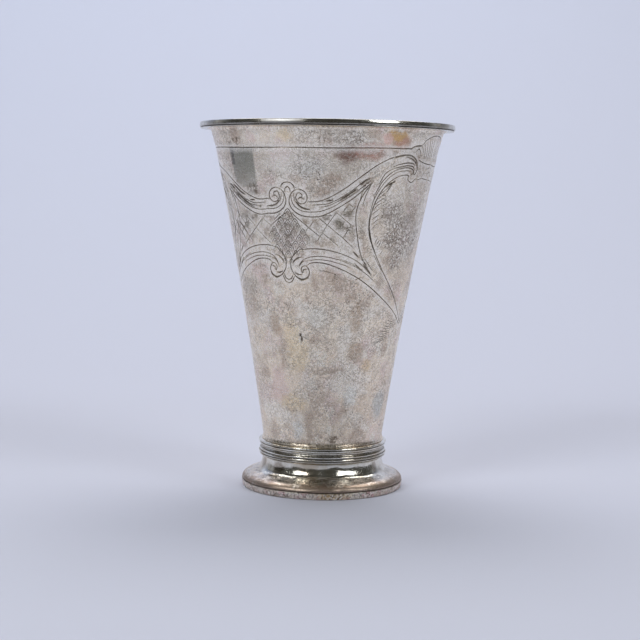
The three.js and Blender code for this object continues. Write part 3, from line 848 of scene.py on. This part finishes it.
def stain_group():
    """One stain: full in the middle of an oval, fading to nothing at its edge."""
    tree, take, give = new_group("stain", {"Vector": (0, 0, 0), "Centre": (0, 0, 0),
                                           "Size": (0.005, 0.005, 0.005), "Core": 0.5},
                                 {"Mask": 0.0})
    off = moved(tree, "SUBTRACT", take["Vector"], take["Centre"])
    near = moved(tree, "DIVIDE", off, take["Size"])
    length = add_node(tree, "ShaderNodeVectorMath", {"operation": "LENGTH"}, {0: near})
    tree.links.new(ramped(tree, length.outputs["Value"], take["Core"], 1.15, 1.0, 0.0),
                   give["Mask"])
    return tree


def etching_group():
    """The worn skin of old silver: dark worm tracks where a noise of about a millimetre crosses its
    middle, pale ones where a second does, and dots where a finer one is high. All thin out where a
    broad noise is low."""
    tree, take, give = new_group("etching", {"Vector": (0, 0, 0), "Scale": 900.0, "Amount": 1.0},
                                 {"Dark": 0.0, "Pale": 0.0, "Dots": 0.0, "Height": 0.0})

    def grain(share, detail, seed):
        """Noise whose size is a share of the etching's own."""
        return add_node(tree, "ShaderNodeTexNoise", {"noise_dimensions": "4D"},
                        {"Vector": take["Vector"], "W": seed, "Detail": detail, "Roughness": 0.6,
                         "Scale": figure(tree, "MULTIPLY", take["Scale"], share)}).outputs["Fac"]

    def from_middle(value):
        """How far a noise is from its middle."""
        return figure(tree, "ABSOLUTE", figure(tree, "SUBTRACT", value, 0.5))

    broad = ramped(tree, grain(0.14, 3.0, 2.0), 0.40, 0.60, 0.45, 1.1)
    amount = figure(tree, "MULTIPLY", broad, take["Amount"])
    fine = grain(2.2, 1.0, 3.0)
    dark = ramped(tree, from_middle(grain(0.8, 2.0, 5.0)), 0.01, 0.065, 1.0, 0.0)
    pale = ramped(tree, from_middle(grain(0.7, 2.0, 8.0)), 0.01, 0.06, 1.0, 0.0)
    dots = ramped(tree, fine, 0.60, 0.70)
    for name, mask in (("Dark", dark), ("Pale", pale), ("Dots", dots)):
        tree.links.new(figure(tree, "MULTIPLY", mask, amount), give[name])
    level = figure(tree, "SUBTRACT", fine, figure(tree, "MULTIPLY", dark, 0.5))
    tree.links.new(level, give["Height"])
    return tree


def rubbing_group():
    """Fine marks that run round the piece, left by rubbing: noise drawn out twelve times as long
    round as it is high."""
    tree, take, give = new_group("rubbing_marks", {"Vector": (0, 0, 0), "Low": 0.55, "High": 0.7},
                                 {"Mask": 0.0})
    flat = moved(tree, "MULTIPLY", take["Vector"], (1.0, 1.0, 12.0))
    noise = add_node(tree, "ShaderNodeTexNoise", {}, {"Vector": flat, "Scale": 110.0,
                                                     "Detail": 4.0, "Roughness": 0.6})
    tree.links.new(ramped(tree, noise.outputs["Fac"], take["Low"], take["High"]), give["Mask"])
    return tree


CLOUDS = clouds_group()
RAGGED = ragged_group()
STAIN = stain_group()
ETCHING = etching_group()
RUBBING = rubbing_group()


def placed(tree, group, values):
    """A node group placed in a material."""
    return add_node(tree, "ShaderNodeGroup", {"node_tree": group}, values).outputs


def clouds(tree, place, scale, low, high, seed, upright=0.6):
    """The tarnish clouds placed in a material."""
    return placed(tree, CLOUDS, {"Vector": place, "Scale": scale, "Low": low, "High": high,
                                 "Seed": seed, "Upright": upright})["Mask"]


def stain(tree, place, turn, height, half_width, half_height, core=0.45, radius=None):
    """A stain on a wall, centred at degrees round and a height, in mm."""
    angle = math.radians(turn)
    reach = float(cup_radius(np.array(height))) if radius is None else radius
    centre = (reach * math.sin(angle) / 1000, -reach * math.cos(angle) / 1000, height / 1000)
    oval = (half_width / 1000, half_width / 1000, half_height / 1000)
    return placed(tree, STAIN, {"Vector": place, "Centre": centre, "Size": oval,
                                "Core": core})["Mask"]


def etched(tree, place, scale, amount):
    """The worn skin placed in a material: its dark tracks, pale tracks, dots and height."""
    return placed(tree, ETCHING, {"Vector": place, "Scale": scale, "Amount": amount})


def band(tree, value, low, high, soft):
    """1 between two levels, easing to 0 over a soft edge outside them."""
    return figure(tree, "MULTIPLY", ramped(tree, value, low - soft, low),
                  ramped(tree, value, high, high + soft, 1.0, 0.0))


def carried(tree, name):
    """The values that the mesh carries under a name."""
    return add_node(tree, "ShaderNodeAttribute", {"attribute_name": name}, {}).outputs["Fac"]


def laid(tree, colour, tint, mask, strength):
    """A colour with a tint laid on it, as much as the mask says times a strength."""
    return mixed(tree, figure(tree, "MULTIPLY", mask, strength), colour, tint)


def silver(name):
    """A new material of bare silver, with the place on the piece that every mark is read from."""
    material, tree, shader = new_material(name, {"Metallic": 1.0})
    return material, tree, shader, add_node(tree, "ShaderNodeTexCoord", {}, {}).outputs["Object"]


def finished(tree, shader, colour, roughness, normal):
    """Join what was made to the shader."""
    for name, made in (("Base Color", colour), ("Roughness", roughness), ("Normal", normal)):
        tree.links.new(made, shader.inputs[name])


# Layers of tarnish all over the cup, each in clouds of its own: size as noise scale, two levels,
# seed, upright stretch, colour, strength. They are pink, brown, brown flecks, pale and wiped.
TARNISH = [
    (75, 0.5, 0.62, 2.5, 0.8, (0.88, 0.71, 0.63, 1), 0.8),
    (85, 0.51, 0.60, 4.0, 0.9, (0.66, 0.53, 0.41, 1), 1.0),
    (210, 0.5, 0.6, 7.0, 0.9, (0.60, 0.49, 0.38, 1), 0.4),
    (120, 0.54, 0.64, 9.0, 0.8, (0.98, 0.91, 0.77, 1), 0.8),
    (62, 0.50, 0.60, 13.0, 1.0, (1.0, 0.93, 0.80, 1), 0.7),
]

# Stains on the photographed side: degrees round, height, half width, half height, colour, strength.
TAN = (0.56, 0.42, 0.29, 1)
SAND = (0.95, 0.76, 0.48, 1)
ASH = (0.88, 0.83, 0.71, 1)
SLATE = (0.42, 0.38, 0.32, 1)
PALE = (0.95, 0.92, 0.82, 1)
ROSE = (0.84, 0.66, 0.58, 1)
OLIVE = (0.36, 0.33, 0.22, 1)
UMBER = (0.36, 0.25, 0.18, 1)
HONEY = (0.84, 0.64, 0.40, 1)
CLAY = (0.56, 0.47, 0.36, 1)
ZINC = (0.60, 0.60, 0.55, 1)
BURNT = (0.26, 0.14, 0.10, 1)
BRICK = (0.54, 0.30, 0.22, 1)
COPPER = (0.60, 0.35, 0.24, 1)
AMBER = (0.72, 0.46, 0.20, 1)
SALMON = (0.84, 0.56, 0.46, 1)
STAINS = [
    (-20.2, 57.5, 6.0, 9.0, SAND, 0.7), (-63, 77, 9, 8, TAN, 0.5), (24.5, 59.1, 4.6, 5.5, TAN, 0.75),
    (34.2, 53.3, 3.2, 3.4, HONEY, 0.7), (-38.6, 45, 5.0, 9.0, ROSE, 0.7),
    (22.6, 41.1, 3.8, 5.6, PALE, 0.9), (-22.8, 26.4, 3.0, 4.4, PALE, 0.9),
    (-4.7, 72.9, 5.5, 6.0, ASH, 0.7), (22.1, 72.5, 3.6, 9.0, TAN, 0.7),
    (-36.9, 70.4, 3.0, 6.5, TAN, 0.7), (-23.9, 67.6, 4.6, 9.0, SAND, 0.5),
    (-60.8, 84.4, 9.0, 4.8, CLAY, 0.7), (57, 36.5, 4.6, 7.5, ZINC, 0.85),
    (-52, 41, 7.0, 5.6, ROSE, 0.6), (-26.3, 37.7, 7.0, 4.2, SAND, 0.6),
    (-8.5, 130.5, 6.2, 3.4, SLATE, 0.35), (-21.1, 143.6, 4.0, 2.6, SAND, 0.6),
    (15.9, 122.8, 6.4, 3.4, OLIVE, 0.3), (12.2, 115.2, 2.2, 2.5, OLIVE, 0.5),
    (7.3, 110.3, 2.4, 2.4, OLIVE, 0.55), (14.2, 107.1, 1.6, 1.6, OLIVE, 0.45),
    (10.7, 120.2, 2.6, 1.4, UMBER, 0.5), (15.3, 122.8, 2.6, 1.5, UMBER, 0.5),
    (19.9, 125.5, 2.6, 1.5, UMBER, 0.5), (-50.6, 118.3, 3.6, 2.0, SLATE, 0.75),
    (-45.2, 116.4, 3.2, 1.4, SLATE, 0.65), (-56.2, 121.8, 2.8, 2.0, SLATE, 0.7),
    (-50, 112, 3.6, 3.6, SLATE, 0.55), (47.5, 95, 4.4, 3.4, UMBER, 0.5), (43, 104, 4.2, 5.0, TAN, 0.5),
    (40.1, 114.2, 5.2, 4.0, SLATE, 0.5), (53, 112, 4.2, 3.4, SLATE, 0.4), (-48, 95.3, 3.6, 4.0, TAN, 0.5),
    (11, 137.2, 5.8, 4.6, BURNT, 0.9), (22, 138.2, 10.0, 4.2, BRICK, 0.85),
    (39.5, 141.6, 5.4, 3.4, COPPER, 0.9), (35.6, 144.3, 5.4, 2.6, AMBER, 0.95),
    (29.7, 143, 3.0, 2.2, SALMON, 0.8), (-21, 109, 26, 12, SLATE, 0.2),
    (-21.3, 108, 8.5, 10, SLATE, 0.3), (-62, 108, 12, 10, SLATE, 0.25), (20, 112, 12, 9, SLATE, 0.15),
    (54, 106, 14, 18, SLATE, 0.25), (8, 143.2, 14, 3.2, SLATE, 0.25), (-16, 133, 18, 5.5, PALE, 0.5),
]

# Places where the skin is rougher: degrees round, height, half width, half height, how much more.
# Places where it is worn smooth are given by their ovals alone.
ROUGH = [(12.5, 143.4, 6.5, 3.2, 1.5), (-8.5, 130.5, 7, 4, 0.5), (53.5, 104.6, 12, 10, 1.7),
         (41, 114.2, 7, 6, 1.2), (-21.3, 108, 8, 9, 0.35), (47.5, 95, 5, 4, 0.9), (-60, 84, 9, 5, 0.4)]
SMOOTH = [(-36, 143.2, 18, 3.6), (-38, 45, 6, 11), (-24, 134, 7, 5), (34, 142.5, 8, 5)]

# Rusty dots: an oval as above and its core, then the dots' noise scale, two levels and seed. The two
# specks are ovals alone.
RUST = [(-43.5, 122.8, 5.4, 3.4, 0.2, 700, 0.42, 0.56, 2.0),
        (9.5, 22.9, 2.2, 2.2, 0.45, 900, 0.42, 0.5, 5.0),
        (-53, 141.6, 6, 1.4, 0.45, 500, 0.5, 0.58, 3.0)]
SPECKS = [(-17.1, 65.9, 0.9, 0.9), (-16.4, 64.1, 0.8, 1.0)]

# The painted reflection of a dark upright thing in the polished panel under the lip, and its black corner:
# from, to and soft edge, in degrees round and then in metres of height. The rectangle is fainter in its
# lower part. Then the pale worn metal.
DARK_REFLECTION_ROUND = (-56.5, -40.5, 1.5)
DARK_REFLECTION_HEIGHT = (0.124, 0.1391, 0.0002)
DARK_REFLECTION_FADE = (0.120, 0.134, 0.5, 0.95)
CORNER_ROUND = (-57.5, -55.5, 1.2)
CORNER_HEIGHT = (0.133, 0.139, 0.0008)
GLINT = (0.98, 0.92, 0.80, 1)

material, tree, shader, place = silver("engraved_silver")
ragged = placed(tree, RAGGED, {"Vector": place})["Vector"]
parts = add_node(tree, "ShaderNodeSeparateXYZ", {}, {"Vector": place}).outputs
patches = clouds(tree, place, 42, 0.40, 0.62, 1.0)
warm = mixed(tree, patches, (1.0, 0.875, 0.695, 1), (0.92, 0.77, 0.60, 1))
cool = mixed(tree, patches, (0.97, 0.845, 0.68, 1), (0.84, 0.745, 0.61, 1))
colour = mixed(tree, ramped(tree, parts["Z"], 0.085, 0.12), warm, cool)
for scale, low, high, seed, upright, tint, strength in TARNISH:
    layer = clouds(tree, place, scale, low, high, seed, upright)
    colour = laid(tree, colour, tint, layer, strength)
for *oval, tint, strength in STAINS:
    colour = laid(tree, colour, tint, stain(tree, ragged, *oval), strength)
turned_by = figure(tree, "MULTIPLY", figure(
    tree, "ARCTAN2", parts["X"], figure(tree, "MULTIPLY", parts["Y"], -1.0)), 180 / math.pi)
# Painted reflection: a dark upright rectangle on the polished panel under the lip. The same panel is worn
# smooth.
panel_and_painted_reflection = figure(tree, "MULTIPLY", band(tree, turned_by, *DARK_REFLECTION_ROUND),
              band(tree, parts["Z"], *DARK_REFLECTION_HEIGHT))
panel_and_painted_reflection = figure(tree, "MULTIPLY", panel_and_painted_reflection, ramped(tree, parts["Z"], *DARK_REFLECTION_FADE))
colour = mixed(tree, panel_and_painted_reflection, colour, (0.35, 0.34, 0.28, 1))
# Painted reflection: the black corner of the dark rectangle.
corner = figure(tree, "MULTIPLY", band(tree, turned_by, *CORNER_ROUND),
                band(tree, parts["Z"], *CORNER_HEIGHT))
colour = laid(tree, colour, (0.12, 0.11, 0.10, 1), corner, 0.8)
rubbing = placed(tree, RUBBING, {"Vector": place, "Low": 0.56, "High": 0.72})["Mask"]
colour = laid(tree, colour, (0.96, 0.89, 0.77, 1), rubbing, 0.45)
rough = 0.0
for *oval, more in ROUGH:
    rough = figure(tree, "ADD", rough, figure(tree, "MULTIPLY", stain(tree, ragged, *oval), more))
worn_smooth = panel_and_painted_reflection
for oval in SMOOTH:
    worn_smooth = figure(tree, "MAXIMUM", worn_smooth, stain(tree, ragged, *oval))
kept = figure(tree, "SUBTRACT", 0.9, figure(tree, "MULTIPLY", worn_smooth, 0.75))
skin = etched(tree, place, 820.0, figure(tree, "ADD", kept, rough))
coarse = etched(tree, place, 460.0, 1.2)
eaten = figure(tree, "MINIMUM", figure(tree, "MULTIPLY", rough, 0.5), 0.7)
colour = laid(tree, colour, (0.30, 0.27, 0.22, 1), coarse["Dark"], eaten)
colour = laid(tree, colour, GLINT, coarse["Pale"], eaten)
colour = laid(tree, colour, GLINT, skin["Pale"], 0.5)
colour = laid(tree, colour, (0.40, 0.34, 0.28, 1), skin["Dark"], 0.62)
colour = laid(tree, colour, (0.17, 0.14, 0.11, 1), skin["Dots"], 0.8)
rust = 0.0
for *oval, scale, low, high, seed in RUST:
    dots = clouds(tree, place, scale, low, high, seed, 1.0)
    rust = figure(tree, "ADD", rust, figure(tree, "MULTIPLY", stain(tree, ragged, *oval), dots))
for oval in SPECKS:
    rust = figure(tree, "MAXIMUM", rust, stain(tree, place, *oval))
colour = laid(tree, colour, (0.15, 0.11, 0.07, 1), rust, 0.85)
hidden = mixed(tree, patches, (0.93, 0.89, 0.82, 1), (0.76, 0.71, 0.63, 1))
hidden = laid(tree, hidden, (0.55, 0.50, 0.43, 1), skin["Dark"], 0.3)
colour = mixed(tree, carried(tree, "inside"), colour, hidden)
burr = carried(tree, "burr")
# Painted highlight: the burr beside each cut is lightened as if it caught the light.
colour = laid(tree, colour, (0.98, 0.92, 0.81, 1), burr, 0.7)
grime_and_shade = carried(tree, "grime_and_shade")
filled = ramped(tree, clouds(tree, place, 150, 0.40, 0.60, 11.0, 1.0), 0.0, 1.0, 0.75, 1.0)
colour = laid(tree, colour, (0.12, 0.10, 0.075, 1), grime_and_shade, filled)
roughness = ramped(tree, skin["Height"], 0.0, 0.7, 0.38, 0.24)
roughness = figure(tree, "SUBTRACT", roughness, figure(tree, "MULTIPLY", burr, 0.1))
roughness = figure(tree, "ADD", roughness, figure(tree, "MULTIPLY", grime_and_shade, 0.2))
finished(tree, shader, colour, roughness, bumped(tree, skin["Height"], 0.5, 0.00006))
cup.data.materials.append(material)
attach(cup, "root")
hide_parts("cup_body")


# The rim wire. A drawn half-round silver wire with a thin fillet under it, bent to a ring, sleeved
# over the lip and soldered, then polished by use.
def ring_object(name, profile, dirt_and_shade):
    """A closed profile turned into a ring, with grime and painted shade given for every place of the
    profile.
    """
    points, normals, triangles, first = welded([turned(profile)])
    ring = mesh_object(name, points, triangles, normals)
    carry(ring, "grime_and_shade", np.repeat(np.clip(dirt_and_shade, 0, 1), COLUMNS + 1)[first])
    return ring


def dirt_and_shade_near(profile, heights, reach):
    """Grime and painted shade, full at the given heights and gone at reach from them."""
    away = np.abs(profile[:, 1:] - np.array(heights)).min(1)
    return 1 - away / reach


rim_profile = np.vstack([
    smooth_profile([(49.29, 147.42), (50.4, 147.40), (51.7, 147.41), (51.96, 147.47),
                    (52.02, 147.62), (51.96, 147.8), (51.7, 147.88)], 0.08),
    smooth_profile([(51.5, 147.92), (52.1, 147.94), (52.32, 148.08), (52.39, 148.4), (52.4, 148.8),
                    (52.35, 149.2), (52.26, 149.55), (52.16, 149.8), (52.02, 149.92),
                    (51.8, 149.96), (51.2, 149.98)], 0.06),
    smooth_profile([(51.1, 149.96), (50.3, 149.99), (49.7, 149.97), (49.29, 149.9)], 0.15),
    [(49.29, 149.0), (49.29, 148.0), (49.29, 147.42)],
])
# Grime in the seam under the wire, and a painted dark reflection on the fillet and the wire's lower edge.
rim = ring_object("rim_wire_ring", rim_profile,
                  dirt_and_shade_near(rim_profile, [147.89], 0.55) * (rim_profile[:, 0] > 51))
material, tree, shader, place = silver("polished_silver")
colour = mixed(tree, clouds(tree, place, 120, 0.42, 0.6, 2.0), (0.76, 0.74, 0.68, 1),
               (0.56, 0.52, 0.44, 1))
dulled = stain(tree, place, -20, 149, 10, 6, 0.6, 52.4)
colour = laid(tree, colour, (0.34, 0.33, 0.32, 1), dulled, 0.8)
skin = etched(tree, place, 600.0, 0.6)
colour = laid(tree, colour, (0.28, 0.25, 0.21, 1), skin["Dark"], 0.45)
colour = laid(tree, colour, (0.14, 0.12, 0.10, 1), skin["Dots"], 0.7)
# Grime in the seam and a painted dark reflection at the wire's lower edge, from the mesh.
colour = laid(tree, colour, (0.10, 0.085, 0.07, 1), carried(tree, "grime_and_shade"), 0.85)
roughness = ramped(tree, skin["Height"], 0.0, 0.7, 0.22, 0.14)
roughness = figure(tree, "ADD", roughness, figure(tree, "MULTIPLY", dulled, 0.2))
finished(tree, shader, colour, roughness, bumped(tree, skin["Height"], 0.12, 0.00004))
rim.data.materials.append(material)
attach(rim, "root")
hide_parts("rim_wire")


# The foot. Turned silver: a collar of two reeded beads, a hollow neck and a low dome that spreads to
# the base wire. It is hollow underneath, and was polished more often than the cup.
def half_round(middle, height, half_width, half_height, count):
    """An arc from the lower to the upper edge of a moulding that stands out from radius middle."""
    turn = np.linspace(-math.pi / 2, math.pi / 2, count)
    return np.stack([middle + half_width * np.cos(turn), height + half_height * np.sin(turn)], -1)


foot_outside = np.vstack([
    smooth_profile([(32.2, 2.87), (33.0, 2.88), (33.32, 2.98), (33.42, 3.3), (33.36, 3.75),
                    (33.05, 4.3), (32.4, 4.95), (31.2, 5.65), (29.6, 6.2), (28.2, 6.75),
                    (27.1, 7.3), (26.3, 7.95), (25.75, 8.75), (25.35, 9.7), (25.1, 10.8),
                    (25.02, 11.8), (25.1, 12.5)], 0.2),
    smooth_profile([(25.2, 12.75), (25.6, 13.15), (26.12, 13.3), (26.22, 13.45), (26.24, 13.7),
                    (26.16, 13.86), (25.72, 13.96)], 0.07),
    half_round(25.95, 14.53, 0.66, 0.54, 15),
    smooth_profile([(25.72, 15.12), (26.18, 15.24), (26.25, 15.5), (26.2, 15.85), (25.95, 16.05),
                    (25.5, 16.25), (25.36, 16.7), (25.36, 17.1), (25.6, 17.45), (26.12, 17.6),
                    (26.22, 17.75), (26.24, 18.1), (26.16, 18.36), (25.72, 18.46)], 0.07),
    half_round(25.95, 19.0, 0.66, 0.52, 15),
    smooth_profile([(25.7, 19.58), (25.3, 19.66), (24.9, 19.69), (24.1, 19.69)], 0.2),
])
foot_inside = smooth_profile([(24.1, 19.0), (24.1, 15), (24.1, 11.5), (24.3, 9.6), (25.0, 8.0),
                              (26.6, 6.6), (29.2, 5.3), (31.2, 4.3), (32.0, 3.4), (32.2, 2.87)], 0.4)
foot_profile = np.vstack([foot_outside, foot_inside])

# Grime in the foot's seam and grooves, and painted shade under its beads and reeds and in the channel
# between them: how much, at which heights, and how far it reaches. Blots on its neck: degrees round and
# half width. Heights of its skirt, of the line above it and of its brown edge, in metres.
FOOT_DIRT_AND_SHADE = [(1.3, [13.96, 15.12, 18.47], 0.34), (0.9, [14.15, 18.64, 16.7], 0.34),
             (0.9, [13.32, 17.56, 16.2], 0.3), (1.0, [2.87], 0.45)]
BLOTS = [(-45, 3.4), (57, 2.4), (-72, 3.0)]
BLOT_HEIGHT = 10.5
FOOT_NECK_RADIUS = 25.2
SKIRT = (0.0056, 0.0072, 1.0, 0.0)
SKIRT_LINE = (0.0068, 0.0071, 0.00025)
BROWN_EDGE = (0.0030, 0.0050, 0.0006)
foot_dirt_and_shade = np.max([much * dirt_and_shade_near(foot_profile, heights, reach)
                    for much, heights, reach in FOOT_DIRT_AND_SHADE], axis=0)
foot = ring_object("turned_foot", foot_profile, foot_dirt_and_shade * (foot_profile[:, 0] > 24.9))
material, tree, shader, place = silver("turned_silver")
ragged = placed(tree, RAGGED, {"Vector": place})["Vector"]
colour = mixed(tree, clouds(tree, place, 90, 0.42, 0.62, 3.0, 0.9), (0.86, 0.84, 0.76, 1),
               (0.70, 0.62, 0.50, 1))
level = add_node(tree, "ShaderNodeSeparateXYZ", {}, {"Vector": place}).outputs["Z"]
ragged_level = add_node(tree, "ShaderNodeSeparateXYZ", {}, {"Vector": ragged}).outputs["Z"]
for turn, reach in BLOTS:
    blot = stain(tree, ragged, turn, BLOT_HEIGHT, reach, 2.4, 0.6, FOOT_NECK_RADIUS)
    colour = laid(tree, colour, (0.34, 0.29, 0.23, 1), blot, 0.75)
skirt = ramped(tree, ragged_level, *SKIRT)
bare = clouds(tree, place, 70, 0.40, 0.60, 2.0, 1.0)
tint = mixed(tree, bare, (0.62, 0.53, 0.47, 1), (0.73, 0.64, 0.57, 1))
colour = laid(tree, colour, tint, skirt, 0.85)
line = figure(tree, "MULTIPLY", band(tree, ragged_level, *SKIRT_LINE),
              clouds(tree, place, 50, 0.45, 0.52, 3.0, 1.0))
colour = laid(tree, colour, (0.22, 0.18, 0.14, 1), line, 0.7)
brown = figure(tree, "MULTIPLY", band(tree, ragged_level, *BROWN_EDGE),
               clouds(tree, place, 60, 0.32, 0.44, 5.0, 1.5))
colour = laid(tree, colour, (0.38, 0.27, 0.20, 1), brown, 0.75)
skin = etched(tree, place, 1000.0, figure(tree, "ADD", 0.4, skirt))
colour = laid(tree, colour, (0.30, 0.25, 0.19, 1), skin["Dark"], 0.6)
colour = laid(tree, colour, (0.14, 0.11, 0.08, 1), skin["Dots"], 0.8)
grime_and_shade = carried(tree, "grime_and_shade")
# Grime in the seam and the grooves, and painted shade under the beads and reeds and in the channel.
colour = laid(tree, colour, (0.10, 0.08, 0.06, 1), grime_and_shade, 0.9)
roughness = ramped(tree, skin["Height"], 0.0, 0.7, 0.20, 0.10)
roughness = figure(tree, "ADD", roughness, figure(tree, "MULTIPLY", skirt, 0.16))
roughness = figure(tree, "ADD", roughness, ramped(tree, level, 0.0046, 0.0058, 0.12, 0.0))
roughness = figure(tree, "ADD", roughness, figure(tree, "MULTIPLY", grime_and_shade, 0.25))
dents = add_node(tree, "ShaderNodeTexNoise", {}, {"Vector": place, "Scale": 110.0, "Detail": 1.0})
waves = bumped(tree, dents.outputs["Fac"], 1.0, 0.0011)
finished(tree, shader, colour, roughness,
         bumped(tree, skin["Height"], 0.5, 0.00004, Normal=waves))
foot.data.materials.append(material)
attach(foot, "root")
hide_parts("foot")


# The base wire. A flat silver band soldered under the foot's edge; it takes the wear of standing,
# and is stained brown and pink.
wire_profile = smooth_profile([(32.0, 2.7), (32.0, 1.4), (32.0, 0.2), (32.15, 0.03), (32.6, 0.0),
                               (33.0, 0.02), (33.18, 0.16), (33.26, 0.5), (33.4, 1.3), (33.54, 2.2),
                               (33.57, 2.55), (33.45, 2.76), (33.2, 2.83), (32.6, 2.84),
                               (32.1, 2.82), (32.0, 2.7)], 0.1)
# Grime in the seam under the foot, and painted shade along the bottom edge where the wire stands.
wire_dirt_and_shade = np.maximum(dirt_and_shade_near(wire_profile, [2.8], 0.4), dirt_and_shade_near(wire_profile, [0.0], 0.3))
base_wire = ring_object("base_wire_ring", wire_profile, wire_dirt_and_shade)
material, tree, shader, place = silver("base_wire_silver")
ragged = placed(tree, RAGGED, {"Vector": place})["Vector"]
colour = mixed(tree, clouds(tree, place, 110, 0.40, 0.58, 6.0, 1.0), (1.0, 0.92, 0.80, 1),
               (0.74, 0.60, 0.50, 1))
colour = mixed(tree, clouds(tree, place, 150, 0.50, 0.58, 8.0, 1.0), colour, (0.88, 0.60, 0.58, 1))
ochre = stain(tree, ragged, 8, 1.6, 8, 3.0, 0.3, 33.4)
colour = laid(tree, colour, (0.80, 0.58, 0.28, 1), ochre, 0.8)
skin = etched(tree, place, 1000.0, 1.3)
colour = laid(tree, colour, (0.18, 0.13, 0.10, 1), skin["Dark"], 0.8)
colour = laid(tree, colour, (1.0, 0.94, 0.87, 1), skin["Pale"], 0.9)
colour = laid(tree, colour, (0.10, 0.07, 0.05, 1), skin["Dots"], 0.9)
# Grime in the seam and painted shade along the bottom edge, from the mesh.
colour = laid(tree, colour, (0.10, 0.075, 0.05, 1), carried(tree, "grime_and_shade"), 0.85)
roughness = ramped(tree, skin["Height"], 0.0, 0.7, 0.50, 0.34)
finished(tree, shader, colour, roughness, bumped(tree, skin["Height"], 0.8, 0.00008))
base_wire.data.materials.append(material)
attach(base_wire, "root")
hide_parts("foot_wire")
